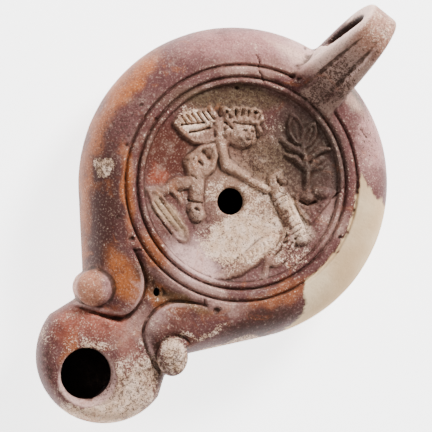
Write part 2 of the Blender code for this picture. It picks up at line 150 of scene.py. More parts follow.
def outline_distance(points, u, v):
    """Distance to a closed flat outline, negative inside it."""
    best = np.full(np.broadcast(u, v).shape, FAR)
    inside = np.zeros(best.shape, dtype=bool)
    for start, end in zip(points, points[1:] + points[:1]):
        best = np.minimum(best, to_straight(u, v, start, end)[1])
        rise = (end[1] - start[1]) or TINY
        crosses = (start[1] > v) != (end[1] > v)
        inside ^= crosses & (u < start[0] + (v - start[1]) * (end[0] - start[0]) / rise)
    return np.where(inside, -1.0, 1.0) * np.sqrt(best)


class Chart:
    """A function of two lengths, worked out once on an even grid and read between its points."""

    def __init__(self, function, corner_low, corner_high, pitch):
        self.corner = corner_low
        self.pitch = pitch
        counts = [int(math.ceil((b - a) / pitch)) + 1 for a, b in zip(corner_low, corner_high)]
        u = corner_low[0] + pitch * np.arange(counts[0])[:, None]
        v = corner_low[1] + pitch * np.arange(counts[1])[None, :]
        self.values = np.ascontiguousarray(np.broadcast_to(function(u, v), counts), dtype=np.float32)

    def __call__(self, u, v):
        rows, columns = self.values.shape
        fu = np.clip((u - self.corner[0]) / self.pitch, 0.0, rows - 1.001)
        fv = np.clip((v - self.corner[1]) / self.pitch, 0.0, columns - 1.001)
        iu = fu.astype(np.int32)
        iv = fv.astype(np.int32)
        fu = (fu - iu).astype(np.float32)
        fv = (fv - iv).astype(np.float32)
        table = self.values
        near = table[iu, iv] * (1.0 - fu) + table[iu + 1, iv] * fu
        far = table[iu, iv + 1] * (1.0 - fu) + table[iu + 1, iv + 1] * fu
        return near * (1.0 - fv) + far * fv


# The side of the body and of the nozzle, as outlines that are turned

def body_outline():
    points = [(-20.0, RIM_HEIGHT + 2.0), (RIM_RADIUS - 3.0, RIM_HEIGHT + 0.9)]
    for turn in np.linspace(0.5 * math.pi, 0.0, 25):
        radius = RIM_RADIUS + (BODY_RADIUS - RIM_RADIUS) * math.cos(turn) ** 0.9
        height = SEAM_HEIGHT + (RIM_HEIGHT - 0.4 - SEAM_HEIGHT) * math.sin(turn) ** 0.9
        points.append((radius, height))
    for turn in np.linspace(0.0, 0.5 * math.pi, 25)[1:]:
        radius = BASE_RADIUS + (BODY_RADIUS - BASE_RADIUS) * max(math.cos(turn), 0.0) ** 0.75
        points.append((radius, SEAM_HEIGHT * (1.0 - math.sin(turn) ** 1.15)))
    return points + [(-20.0, 0.0)]


def nozzle_outline(offset):
    radius = NOZZLE_RADIUS - offset
    shoulder = 0.26 * radius
    foot = NOZZLE_FOOT - 0.5 * offset
    top = NOZZLE_TOP - offset
    bottom = NOZZLE_BOTTOM + offset
    middle = 0.55 * (top + bottom)
    points = [(-20.0, top)]
    for turn in np.linspace(0.5 * math.pi, 0.0, 17):
        reach = max(math.cos(turn), 0.0) ** 0.8
        points.append((radius - shoulder + shoulder * reach, middle + (top - middle) * math.sin(turn) ** 0.8))
    for turn in np.linspace(0.0, 0.5 * math.pi, 17)[1:]:
        reach = max(math.cos(turn), 0.0)
        points.append((foot + (radius - foot) * reach, middle - (middle - bottom) * math.sin(turn)))
    return points + [(-20.0, bottom)]


def turned_chart(points, reach):
    return Chart(lambda u, v: outline_distance(points, u, v), (-12.0, -6.0), (reach, 52.0), 0.20)


BODY_SIDE = turned_chart(body_outline(), 60.0)
NOZZLE_SIDE = turned_chart(nozzle_outline(0.0), 50.0)
NOZZLE_HOLLOW = turned_chart(nozzle_outline(WALL), 50.0)


def front_outline():
    """The body seen from above: round, with shoulders that run out to the volutes' ends."""
    end = np.array([12.6, -46.7])
    end_radius = 1.5
    reach = np.hypot(*end)
    spread = math.acos((BODY_RADIUS - end_radius) / reach)
    toward = math.atan2(end[1], end[0])
    touch = toward + spread
    points = []
    for angle in np.linspace(touch, math.pi - touch, 60):
        points.append((BODY_RADIUS * math.cos(angle), BODY_RADIUS * math.sin(angle)))
    left = []
    for angle in np.linspace(touch, -0.5 * math.pi, 8):
        left.append((end[0] + end_radius * math.cos(angle), end[1] + end_radius * math.sin(angle)))
    return points + [(-x, y) for x, y in left] + list(reversed(left))


FRONT = Chart(lambda u, v: outline_distance(front_outline(), u, v), (-46.0, -80.0), (46.0, 60.0), 0.25)


def floor_height(radius):
    share = np.clip(radius / DISCUS_RADIUS, 0.0, 1.0)
    return DISCUS_FLOOR + 0.60 * DISCUS_DEPTH * share ** 3


# The sunk panel between the volutes: each side of its edge, from the rings round the lobe to the knob

RIGHT_LOBE = [(12.4, -31.3), (9.0, -33.0), (6.0, -34.9), (4.3, -36.6), (3.1, -38.8), (2.6, -41.2),
              (2.8, -43.8), (4.0, -46.3), (6.4, -48.5), (9.4, -50.2), (12.6, -51.5), (16.0, -52.2),
              (26.0, -53.0)]
LEFT_LOBE = [(-12.4, -31.3), (-9.0, -33.0), (-6.0, -34.9), (-4.3, -36.6), (-3.0, -38.8), (-2.4, -41.4),
             (-2.4, -44.0), (-3.4, -46.1), (-5.9, -47.8), (-9.1, -49.3), (-12.6, -50.6), (-16.0, -51.5),
             (-26.0, -52.4)]


def smoothed(points, per_span):
    """Points of a smooth line that passes through the given ones."""
    ends = np.array([points[0]] + list(points) + [points[-1]], dtype=float)
    line = []
    for i in range(len(points) - 1):
        a, b, c, d = ends[i:i + 4]
        for t in np.arange(per_span) / per_span:
            line.append(0.5 * (2.0 * b + (c - a) * t + (2.0 * a - 5.0 * b + 4.0 * c - d) * t * t
                               + (3.0 * b - a - 3.0 * c + d) * t ** 3))
    line.append(ends[-1])
    return [tuple(point) for point in line]


def panel_outline():
    right = smoothed(RIGHT_LOBE, 4) + [(26.0, -90.0)]
    left = smoothed(LEFT_LOBE, 4) + [(-26.0, -90.0)]
    return [(0.0, -26.0), (8.0, -27.0)] + right + list(reversed(left)) + [(-8.0, -27.0)]


PANEL = Chart(lambda u, v: outline_distance(panel_outline(), u, v), (-46.0, -80.0), (46.0, 60.0), 0.15)


def cloud(points, size, seed):
    """A slow, even waviness between about -1 and 1 that ragged edges are taken from."""
    chance = np.random.default_rng(seed)
    total = np.zeros(len(points))
    for octave in range(3):
        for _ in range(5):
            way = chance.normal(size=3)
            way /= np.linalg.norm(way)
            waves = points @ way * (6.28 / size) * 1.8 ** octave
            total += np.sin(waves + chance.uniform(0.0, 6.28)) / 1.7 ** octave
    return total / 3.2


# The discus picture and the marks on the clay, drawn in the photograph's own directions: u to its
# right, v up, in millimetres from the lamp's axis. Raised work and cuts go on separate sheets.

class Sheet:
    """A flat sheet of heights over the lamp's top that strokes and mounds are drawn on."""

    def __init__(self, reach, pitch):
        self.reach = reach
        self.pitch = pitch
        count = int(round(2.0 * reach / pitch)) + 1
        self.line = -reach + pitch * np.arange(count)
        self.heights = np.zeros((count, count))

    def window(self, points, margin):
        points = np.array(points, dtype=float)
        start = np.searchsorted(self.line, points.min(axis=0) - margin)
        end = np.searchsorted(self.line, points.max(axis=0) + margin)
        place = (slice(start[0], end[0]), slice(start[1], end[1]))
        return place, self.line[place[0]][:, None], self.line[place[1]][None, :]

    def blend_in(self, place, raised, blend=0.25):
        self.heights[place] = smooth_max(self.heights[place], raised, blend)

    def stroke(self, points, widths, heights, roundness=0.5, blend=0.25):
        """A rounded strip along points, with a half width and a height at each of them."""
        widths = np.broadcast_to(widths, len(points))
        heights = np.broadcast_to(heights, len(points))
        place, u, v = self.window(points, max(widths) + 0.3)
        raised = np.zeros((u.size, v.size))
        for i in range(len(points) - 1):
            share, gap = to_straight(u, v, points[i], points[i + 1])
            width = widths[i] + (widths[i + 1] - widths[i]) * share
            height = heights[i] + (heights[i + 1] - heights[i]) * share
            crown = height * np.clip(1.0 - gap / (width * width), 0.0, None) ** roundness
            raised = np.maximum(raised, crown)
        self.blend_in(place, raised, blend)

    def mound(self, centre, sizes, degrees, height, roundness=0.5, blend=0.3):
        """A rounded mass with the given half sizes, its long axis turned anticlockwise from u."""
        reach = max(sizes)
        corners = [(centre[0] - reach, centre[1] - reach), (centre[0] + reach, centre[1] + reach)]
        place, u, v = self.window(corners, 0.2)
        along, across = turned_place(u, v, centre, math.radians(degrees))
        away = (along / sizes[0]) ** 2 + (across / sizes[1]) ** 2
        self.blend_in(place, height * np.clip(1.0 - away, 0.0, None) ** roundness, blend)

    def plate(self, points, height, edge):
        """A raised flat with a soft edge of the given width inside its outline."""
        place, u, v = self.window(points, 0.3)
        share = np.clip(-outline_distance(points, u, v) / edge, 0.0, 1.0)
        self.blend_in(place, height * np.sqrt(share * (2.0 - share)))

    def scratch(self, points, width, depth):
        """A soft-edged cut along points: depths are kept as positive numbers on a sheet of cuts."""
        place, u, v = self.window(points, 3.0 * width)
        best = np.full((u.size, v.size), FAR)
        for start, end in zip(points, points[1:]):
            best = np.minimum(best, to_straight(u, v, start, end)[1])
        self.heights[place] = np.maximum(self.heights[place], depth * np.exp(-best / (width * width)))

    def wear(self):
        """Handling has softened the raised work and left it a little uneven."""
        for _ in range(5):
            sheet = self.heights
            sheet[1:-1] = 0.25 * sheet[:-2] + 0.5 * sheet[1:-1] + 0.25 * sheet[2:]
            sheet[:, 1:-1] = 0.25 * sheet[:, :-2] + 0.5 * sheet[:, 1:-1] + 0.25 * sheet[:, 2:]
        u, v = np.meshgrid(self.line, self.line, indexing="ij")
        places = np.column_stack([u.ravel(), v.ravel(), np.zeros(u.size)])
        uneven = cloud(places, 2.6, 31) * 0.10 + cloud(places, 1.3, 32) * 0.07
        self.heights = self.heights + uneven.reshape(u.shape) * np.clip(self.heights, 0.0, 1.0)

    def chart(self):
        made = Chart.__new__(Chart)
        made.corner = (-self.reach, -self.reach)
        made.pitch = self.pitch
        made.values = np.ascontiguousarray(self.heights, dtype=np.float32)
        return made


def draw_boy(raised, cuts):
    """A stooping winged boy with a bent arm. His face is a plain, calm one at relief scale."""
    raised.plate([(-17.9, 16.4), (-16.2, 18.3), (-12.1, 19.4), (-7.5, 19.8), (-6.2, 17.0), (-6.8, 11.6),
                  (-9.1, 10.5), (-12.1, 10.7), (-15.0, 12.4), (-17.6, 15.3)], 1.15, 1.3)
    raised.stroke([(-17.4, 15.6), (-14.8, 12.6), (-12.1, 11.0), (-9.1, 10.8), (-7.3, 11.5)], 0.75, 1.45)
    raised.stroke([(-8.2, 19.4), (-6.6, 17.0), (-5.5, 12.6)], [0.9, 1.1, 1.2], [1.3, 1.7, 1.8])
    for i in range(6):
        u = -16.7 + 1.42 * i
        v = 17.1 + 0.27 * i
        raised.stroke([(u, v), (u + 1.9, v - 2.1)], [0.52, 0.60], [1.35, 1.60])
        cuts.scratch([(u + 0.75, v + 0.45), (u + 2.5, v - 1.7)], 0.26, 0.80)
    cuts.scratch([(-15.7, 15.2), (-12.5, 15.6), (-9.7, 15.9)], 0.36, 1.15)
    cuts.scratch([(-13.4, 13.3), (-11.0, 13.7), (-8.2, 14.5)], 0.40, 1.20)
    raised.mound((-4.2, 14.2), (3.0, 4.4), 10.0, 1.5)
    raised.mound((0.3, 14.0), (4.4, 5.0), 25.0, 2.1, 0.45)
    raised.mound((1.9, 12.2), (2.5, 2.9), 40.0, 2.4)
    raised.mound((0.6, 17.0), (4.9, 2.4), 4.0, 2.1)
    for points in ([(-4.9, 18.4), (-4.4, 19.3), (-3.3, 19.2)], [(-3.9, 16.7), (-3.2, 18.1), (-2.3, 18.5)],
                   [(-2.4, 17.5), (-2.1, 19.3), (-1.0, 19.6)], [(-0.9, 17.6), (-0.4, 19.3), (0.5, 19.7)],
                   [(0.8, 17.7), (1.1, 19.2), (2.0, 19.5)], [(2.4, 17.5), (2.9, 19.0), (3.8, 19.4)],
                   [(4.0, 17.2), (4.7, 18.7), (5.3, 18.6)], [(4.7, 15.9), (5.6, 16.7), (5.7, 17.5)],
                   [(-3.4, 14.9), (-2.6, 16.2), (-1.6, 16.5)], [(-1.4, 15.8), (-0.3, 16.9), (0.7, 16.6)],
                   [(0.9, 16.1), (1.9, 16.8), (2.9, 16.4)], [(3.2, 15.7), (4.1, 16.0), (4.6, 15.1)],
                   [(4.8, 14.6), (5.3, 13.6), (4.9, 12.8)], [(-3.9, 12.6), (-3.3, 13.6), (-2.6, 13.8)]):
        raised.stroke(points, [0.75, 0.85, 0.60], [2.35, 2.55, 2.2], 0.5, 0.35)
    for points in ([(-3.9, 19.0), (-2.9, 17.2)], [(-1.6, 19.6), (-1.4, 17.7)], [(0.4, 19.6), (0.2, 17.8)],
                   [(2.2, 19.3), (1.8, 17.6)], [(4.1, 18.9), (3.3, 17.3)], [(-2.0, 16.0), (0.4, 15.4)],
                   [(0.6, 15.5), (3.9, 15.3)], [(-4.2, 16.0), (-2.2, 14.3)]):
        cuts.scratch(points, 0.26, 0.60)
    # The face: brow, nose, cheek and chin set out on even thirds of the head's lower half
    raised.mound((2.2, 13.3), (0.55, 1.15), -20.0, 3.0, 0.6, 0.2)
    raised.mound((0.2, 12.3), (1.25, 1.1), 0.0, 2.65, 0.6, 0.3)
    raised.mound((1.9, 10.4), (0.95, 0.8), 0.0, 2.4, 0.6, 0.3)
    cuts.scratch([(0.7, 13.9), (1.4, 13.8)], 0.32, 0.45)
    cuts.scratch([(3.0, 13.7), (3.4, 13.5)], 0.28, 0.40)
    cuts.scratch([(1.6, 11.4), (2.7, 11.3)], 0.22, 0.45)
    raised.stroke([(-5.3, 11.4), (-4.5, 7.5), (-3.5, 4.4)], [1.75, 1.45, 1.35], [1.9, 1.8, 1.6])
    raised.stroke([(-3.5, 4.4), (-0.3, 2.9), (3.2, 0.5), (7.4, -1.6)], [1.35, 1.2, 0.95, 1.05],
                  [1.6, 1.35, 1.2, 1.4])
    raised.stroke([(-2.9, 5.6), (-0.6, 3.9), (2.8, 2.0)], [0.9, 0.7, 0.5], [1.2, 1.0, 0.7])
    raised.plate([(-14.9, 5.0), (-13.1, 7.5), (-10.1, 9.7), (-7.0, 10.4), (-6.1, 7.3), (-7.2, 3.2),
                  (-9.3, 0.8), (-12.0, 1.2)], 1.5, 1.6)
    raised.stroke([(-13.6, 6.4), (-10.4, 9.1), (-7.3, 9.9), (-6.6, 7.2), (-7.4, 4.0), (-9.0, 2.4)],
                  [0.8, 0.8, 0.8, 0.85, 0.85, 0.7], 1.95)
    cuts.scratch([(-9.6, 7.9), (-8.4, 6.6)], 0.85, 0.95)
    cuts.scratch([(-10.9, 5.6), (-10.3, 4.9)], 0.5, 0.6)
    raised.stroke([(-12.6, 5.4), (-11.6, 0.4), (-11.6, -4.1), (-11.2, -7.6)], [2.5, 2.2, 1.9, 1.8],
                  [1.7, 1.8, 1.7, 1.6])
    raised.mound((-11.3, -8.2), (2.35, 2.0), -15.0, 1.85)
    raised.mound((-12.7, -6.6), (1.4, 1.3), 0.0, 1.8)
    cuts.scratch([(-13.6, -4.4), (-12.4, -4.9), (-10.1, -5.2)], 0.30, 0.65)
    cuts.scratch([(-12.9, 1.9), (-11.8, 1.2)], 0.30, 0.5)
    cuts.scratch([(-12.2, -6.6), (-11.0, -7.2)], 0.28, 0.55)
    raised.stroke([(-13.9, 0.2), (-17.0, -0.3), (-19.9, -1.9)], [1.8, 1.6, 1.2], [1.45, 1.2, 0.8])
    raised.stroke([(-20.7, -2.3), (-18.8, 0.2), (-16.5, 1.5), (-14.4, 0.9)], 0.42, [0.5, 0.8, 0.95, 0.9])
    raised.stroke([(-17.9, -2.0), (-16.4, -3.5), (-15.4, -5.6)], [0.9, 0.8, 0.6], [1.0, 0.9, 0.5])


def draw_wineskin(raised, cuts):
    edge = [(-24.6, -2.0), (-22.9, -2.0), (-21.2, -3.2), (-17.4, -7.6), (-14.5, -11.8), (-13.9, -14.4),
            (-15.0, -15.2), (-17.0, -14.2), (-20.7, -9.8), (-23.3, -5.6), (-24.6, -2.0)]
    raised.plate(edge[:-1], 0.55, 1.2)
    raised.stroke(edge, 0.50, 0.95)
    for shift in (-0.4, 0.9, 2.1):
        cuts.scratch([(-22.6 + shift, -4.6 + 0.6 * shift), (-19.5 + shift, -8.6 + 0.6 * shift),
                      (-16.6 + shift, -12.4 + 0.6 * shift)], 0.20, 0.38)
    raised.stroke([(-21.8, -9.7), (-19.1, -13.2), (-17.2, -15.3)], 0.32, 0.45)
    cuts.scratch([(-22.3, -8.2), (-20.2, -11.2), (-18.4, -13.4)], 0.22, 0.35)
    raised.stroke([(-25.1, -1.4), (-22.6, -1.0), (-20.4, -2.5)], 0.40, [0.4, 0.7, 0.6])


def draw_bird(raised, cuts):
    """The large bird that the boy holds by its neck, with its wing spread down to the rings."""
    raised.mound((10.0, 1.7), (1.7, 2.2), -25.0, 1.7)
    raised.mound((11.4, 0.4), (1.2, 1.5), -30.0, 2.0)
    raised.stroke([(9.4, 1.0), (11.0, -3.0), (13.2, -8.0), (15.0, -11.6), (16.3, -14.6)],
                  [1.9, 2.35, 2.2, 2.1, 1.75], [1.7, 2.1, 2.15, 2.1, 1.7], 0.42)
    for i, depth in enumerate((0.2, 0.45, 0.3, 0.15, 0.4, 0.5, 0.3, 0.5, 0.45, 0.4)):
        share = i / 9.0
        u = 10.4 + 5.5 * share
        v = -2.2 - 11.4 * share
        cuts.scratch([(u - 1.6, v - 1.2), (u + 0.1, v + 0.1), (u + 1.5, v + 0.5)], 0.20, depth)
    cuts.scratch([(10.1, 0.6), (10.9, -0.4)], 0.45, 0.9)
    cuts.scratch([(12.9, -5.0), (14.3, -9.0)], 0.22, 0.45)
    raised.stroke([(13.6, -12.7), (12.2, -16.6), (9.4, -20.6)], [1.9, 2.1, 1.7], [1.5, 1.6, 1.2])
    cuts.scratch([(12.4, -13.6), (10.6, -17.4), (9.0, -19.2)], 0.32, 0.75)
    cuts.scratch([(13.9, -15.4), (12.3, -18.2)], 0.26, 0.55)
    cuts.scratch([(11.7, -15.7), (12.3, -15.2)], 0.40, 0.8)
    raised.stroke([(8.9, -14.6), (6.6, -16.6), (3.0, -19.9), (-1.0, -22.6), (-4.6, -24.0), (-7.6, -24.6)],
                  [1.5, 2.1, 2.2, 1.9, 1.4, 0.6], [1.4, 1.8, 1.8, 1.6, 1.2, 0.6], 0.45)
    for i, depth in enumerate((0.25, 0.35, 0.15, 0.3, 0.4, 0.2, 0.35, 0.3, 0.2, 0.35, 0.3, 0.2)):
        share = i / 11.0
        u = 7.4 - 12.0 * share
        v = -16.1 - 7.2 * share
        cuts.scratch([(u - 0.3, v + 1.1), (u + 0.2, v), (u, v - 0.9)], 0.17, depth)
    raised.stroke([(9.9, -14.0), (9.0, -17.0), (7.7, -19.6)], 0.55, 0.9)
    raised.stroke([(7.2, -19.6), (6.7, -22.5), (6.3, -25.4)], [0.9, 0.8, 0.7], [1.0, 0.8, 0.5])
    raised.mound((8.6, -20.9), (1.6, 1.0), 10.0, 1.2)


def draw_leaf(raised, start, tip, half_width, height):
    """A leaf with a raised edge and a midrib, hollowed between them."""
    start = np.array(start)
    along = np.array(tip) - start
    side = np.array([-along[1], along[0]]) / np.hypot(*along) * half_width
    edge = []
    for way in (1.0, -1.0):
        for share in np.linspace(0.0, 1.0, 9)[::int(way)]:
            edge.append(tuple(start + along * share + way * side * math.sin(math.pi * share) ** 0.8))
    del edge[9]
    raised.plate(edge[:-1], 0.35 * height, 0.5)
    raised.stroke(edge, 0.42, height)
    raised.stroke([tuple(start), tuple(start + 0.8 * along)], [0.40, 0.22], 0.8 * height)


def draw_tree(raised, cuts):
    """A small tree with six leaves, standing on a rock."""
    draw_leaf(raised, (15.7, 10.4), (13.9, 18.0), 1.75, 1.25)
    draw_leaf(raised, (17.0, 9.2), (19.6, 15.9), 1.45, 1.15)
    raised.stroke([(11.2, 11.7), (13.6, 9.6), (16.6, 8.0)], [0.7, 1.15, 0.9], [0.9, 1.5, 1.3])
    cuts.scratch([(12.6, 11.3), (15.2, 9.6)], 0.25, 0.45)
    raised.stroke([(24.3, 9.1), (21.2, 8.7), (18.3, 6.4)], [0.6, 0.95, 0.8], [0.8, 1.4, 1.3])
    raised.stroke([(12.3, 7.5), (14.8, 6.6), (17.4, 4.2)], [0.6, 1.0, 0.8], [0.8, 1.4, 1.3])
    raised.stroke([(21.7, 6.5), (20.0, 5.3), (18.3, 3.4)], [0.7, 1.1, 0.85], [0.9, 1.4, 1.2])
    raised.stroke([(23.6, 5.7), (21.9, 4.4), (19.4, 3.4)], [0.35, 0.5, 0.35], [0.4, 0.7, 0.6])
    raised.stroke([(17.3, -4.0), (17.9, -0.4), (18.0, 3.0), (17.4, 6.4), (16.6, 9.6)],
                  [1.0, 0.85, 0.85, 0.8, 0.6], [1.2, 1.4, 1.5, 1.5, 1.2])
    raised.plate([(14.4, -3.2), (16.2, -1.5), (19.4, -1.0), (23.0, -0.9), (25.1, -2.0), (22.3, -6.2),
                  (18.7, -10.4), (16.4, -7.0)], 0.75, 0.8)
    raised.mound((21.4, -2.5), (3.0, 1.8), -12.0, 1.9)
    raised.mound((18.3, -3.6), (2.3, 1.8), 0.0, 1.6)
    raised.mound((18.4, -7.0), (1.9, 2.3), 20.0, 1.3)
    cuts.scratch([(16.2, -4.7), (18.2, -5.8), (20.1, -4.9)], 0.36, 1.0)
    raised.stroke([(25.1, -2.3), (21.9, -6.3), (18.7, -10.4), (15.6, -6.0), (15.0, -3.6)], 0.40, 1.05)


def draw_wear(cuts):
    """Cracks, pits and chips of the shoulder, the rings and the discus."""
    cuts.scratch([(3.9, 33.6), (4.6, 31.6), (4.4, 29.4), (5.6, 27.6), (5.9, 26.0)], 0.17, 0.70)
    cuts.scratch([(31.9, 14.3), (33.6, 12.0)], 0.22, 0.55)
    cuts.scratch([(-21.0, -27.4), (-20.1, -29.0)], 0.24, 0.5)
    cuts.scratch([(-26.0, 16.9), (-24.4, 19.4)], 0.20, 0.35)
    cuts.scratch([(24.6, -4.0), (27.3, -1.2)], 0.20, 0.6)
    for u, v, width, depth in ((-1.0, 25.0, 0.45, 0.8), (13.6, 28.0, 0.75, 1.2), (14.9, 27.4, 0.5, 0.9),
                               (-6.8, -33.3, 0.75, 1.1), (-43.9, -29.7, 0.6, 0.9), (-41.3, -21.7, 0.6, 0.7),
                               (-29.4, -14.6, 0.6, 0.8), (4.2, 18.4, 0.5, 1.0), (26.2, -14.3, 0.45, 0.7),
                               (18.1, 35.6, 0.45, 0.6), (-22.9, 16.6, 0.40, 0.6), (-26.8, 20.3, 0.35, 0.5),
                               (-30.7, 9.6, 0.45, 0.5), (-33.0, -9.0, 0.4, 0.5)):
        cuts.scratch([(u - 0.15, v), (u + 0.15, v + 0.1)], width, depth)


def top_sheets():
    pitch = 0.12
    raised = Sheet(30.0, pitch)
    cuts = Sheet(44.0, pitch)
    draw_wineskin(raised, cuts)
    draw_boy(raised, cuts)
    draw_bird(raised, cuts)
    draw_tree(raised, cuts)
    raised.mound((5.0, 5.1), (1.6, 1.9), 20.0, 0.6)
    raised.wear()
    draw_wear(cuts)
    return raised.chart(), cuts.chart()


RAISED, CUTS = top_sheets()


# The handle: how far a place in the lamp's middle plane is from the strap's centre line, and how
# far along that line it is

def handle_line():
    half = 0.5 * HANDLE_THICKNESS
    far = HANDLE_END - half
    top = HANDLE_TOP - half
    root = RIM_RADIUS - 3.0
    rise = top - RIM_HEIGHT
    return smoothed([
        (root, RIM_HEIGHT - 2.6), (root + 0.35 * (far - root), RIM_HEIGHT + 0.42 * rise),
        (root + 0.62 * (far - root), RIM_HEIGHT + 0.86 * rise), (root + 0.81 * (far - root), top),
        (far - 1.4, RIM_HEIGHT + 0.78 * rise), (far, RIM_HEIGHT + 0.38 * rise),
        (far - 2.0, RIM_HEIGHT - 1.5), (far - 6.8, SEAM_HEIGHT + 6.2),
        (BODY_RADIUS - 0.4, SEAM_HEIGHT + 1.6), (BODY_RADIUS - 4.0, SEAM_HEIGHT - 1.0)], 6)


def strap_charts():
    line = handle_line()
    count = len(line) - 1

    def nearest(u, v):
        shape = np.broadcast(u, v).shape
        best = np.full(shape, FAR)
        away = np.zeros(shape)
        along = np.zeros(shape)
        for i in range(count):
            start, end = line[i], line[i + 1]
            share, gap = to_straight(u, v, start, end)
            side = np.sign((end[1] - start[1]) * (u - start[0]) - (end[0] - start[0]) * (v - start[1]))
            closer = gap < best
            best = np.where(closer, gap, best)
            away = np.where(closer, -side * np.sqrt(gap), away)
            along = np.where(closer, (i + share) / count, along)
        return away, along

    corners = (20.0, 4.0), (64.0, 52.0)
    return (Chart(lambda u, v: nearest(u, v)[0], *corners, 0.2),
            Chart(lambda u, v: nearest(u, v)[1], *corners, 0.2))


STRAP_AWAY, STRAP_ALONG = strap_charts()


def handle_distance(x, y, z):
    away = STRAP_AWAY(y, z)
    along = STRAP_ALONG(y, z)
    # The strap widens to its root, and more so on one side, as it was pressed on by hand
    flare = np.clip(1.0 - along / 0.38, 0.0, 1.0) ** 1.3
    half = 0.5 * (HANDLE_WIDTH + (HANDLE_ROOT_WIDTH - HANDLE_WIDTH) * flare) + 1.4 * flare * (x > 0.0)
    lean = HANDLE_LEAN * np.sin(math.pi * np.clip(along / 0.9, 0.0, 1.0))
    across = np.abs(x - lean)
    # Two grooves that fade out upwards, in a broad shallow hollow
    groove = 0.65 * falling(along, 0.14, 0.32) * bell(across / half - 0.42, 0.15)
    groove = groove + 0.40 * falling(np.abs(along - 0.22), 0.05, 0.20) * falling(across / half, 0.35, 0.75)
    thick = 0.5 * HANDLE_THICKNESS - np.where(away > 0.0, groove, 0.0)
    side = across - half + STRAP_CORNER
    face = np.abs(away) - thick + STRAP_CORNER
    outside = np.hypot(np.maximum(side, 0.0), np.maximum(face, 0.0))
    strap = outside + np.minimum(np.maximum(side, face), 0.0) - STRAP_CORNER
    # The clay runs on below the finger hole as a web
    web = np.minimum(y - WEB_REACH, (y + 0.55 * z - 56.3) / 1.14)
    web = smooth_max(np.maximum(np.maximum(across - half + 0.35, away), 34.0 - y), web, 1.2)
    return smooth_min(strap, web, 1.0)


# The lamp's clay

def photo_place(x, y):
    return x * PHOTO_RIGHT[0] + y * PHOTO_RIGHT[1], x * PHOTO_UP[0] + y * PHOTO_UP[1]


def discus_height(x, y, radius):
    """The top surface inside the rim: dish, relief, raised edge, two grooves and three rings."""
    u, v = photo_place(x, y)
    dish = floor_height(radius) + RELIEF * RAISED(u, v)
    rings = 27.85 - 0.035 * (radius - 29.3) ** 2
    rings = rings - 1.30 * bell(radius - 27.85, 0.46)
    rings = rings - 1.15 * bell(radius - 30.95, 0.42)
    rings = rings + 0.14 * (1.0 - falling(radius, 31.2, 32.0))
    step = falling(radius, 25.8, 26.5)
    return dish * step + rings * (1.0 - step) + 2.5 * np.clip(radius - 32.5, 0.0, None)


def panel_floor(x, y, radius, edge):
    """The panel's floor: the rings' outer slope, the neck running down, the nozzle's plate."""
    slope = 27.75 - 0.80 * (radius - 32.2)
    neck = NOZZLE_TOP + 1.9 * (1.0 - falling(y, -47.5, -36.0))
    floor = smooth_max(slope, neck, 0.8)
    lower = falling(y, -45.5, -42.0)
    deep = bell(y + 47.6, 3.2) * (x < 0.0)
    groove = bell(edge + 0.50 + 0.40 * deep, 0.42 + 0.45 * deep)
    floor = floor - groove * (0.55 + 1.70 * deep + 0.25 * lower)
    ridge = bell(edge + 1.55, 0.55) * falling(y, -38.0, -41.0)
    return floor + ridge * 0.30


def drum_distance(x, y, z, centre, sizes, turn, top, low_end):
    """A standing oval drum with a rounded top edge that draws in below the seam."""
    along, across = turned_place(x, y, centre, turn)
    mean = 0.5 * (sizes[0] + sizes[1])
    reach = np.hypot(along / sizes[0], across / sizes[1]) * mean
    side = reach - mean + 0.55 * np.clip(SEAM_HEIGHT - z, 0.0, None)
    return smooth_max(side, np.maximum(z - top, low_end - z), 1.6)


def dome_distance(x, y, z, centre, sizes, turn, height):
    along, across = turned_place(x, y, centre, turn)
    reach = np.sqrt((along / sizes[0]) ** 2 + (across / sizes[1]) ** 2 + ((z - height) / sizes[2]) ** 2)
    return (reach - 1.0) * min(sizes)


def lobe_marks(x, y):
    """Creases and rolls that curl the shoulder's end round each knob."""
    left = np.hypot(x - LEFT_KNOB[0], y - LEFT_KNOB[1])
    right = np.hypot((x - RIGHT_KNOB[0]) * 0.95, (y - RIGHT_KNOB[1]) * 0.85)
    near_left = bell(left - 5.2, 0.55) * 0.10 - bell(left - 6.4, 0.9) * 0.20
    bearing = np.arctan2(y - RIGHT_KNOB[1], x - RIGHT_KNOB[0])
    upper = bell(bearing - 1.9, 1.0)
    near_right = bell(right - 4.9, 0.50) * (0.35 + 0.75 * upper)
    return near_left + near_right


def along_nozzle(y, draw_in):
    """The nearest place on the nozzle's middle line, and by how much its side is drawn in there."""
    reach = np.clip(y, -NOZZLE_REACH, NOZZLE_ROOT)
    return reach, draw_in * (reach + NOZZLE_REACH) / (NOZZLE_REACH + NOZZLE_ROOT)


def oil_distance(radius, z):
    """The oil chamber: the body's side and the discus's underside, both in by the wall."""
    return np.maximum(BODY_SIDE(radius, z) + WALL, z - floor_height(radius) + WALL)


def lip_distance(x, y):
    """How far a place lies from the middle of the wick hole's bevelled lip."""
    return np.hypot(x - WICK_HOLE[0] - 0.85, y - WICK_HOLE[1] + 0.80)


def knobs_distance(x, y, z):
    left = smooth_min(drum_distance(x, y, z, LEFT_KNOB, (4.5, 4.5), 0.0, LOBE_TOP - 0.3, KNOB_FOOT),
                      dome_distance(x, y, z, LEFT_KNOB, (4.8, 4.8, 3.3), 0.0, LOBE_TOP - 0.6), 0.3)
    right = smooth_min(drum_distance(x, y, z, RIGHT_KNOB, (4.0, 4.9), PICTURE_TURN, LOBE_TOP - 0.6, KNOB_FOOT),
                       dome_distance(x, y, z, RIGHT_KNOB, (4.1, 5.1, 2.5), PICTURE_TURN, LOBE_TOP - 0.7), 0.3)
    return smooth_min(left, right, 0.1)


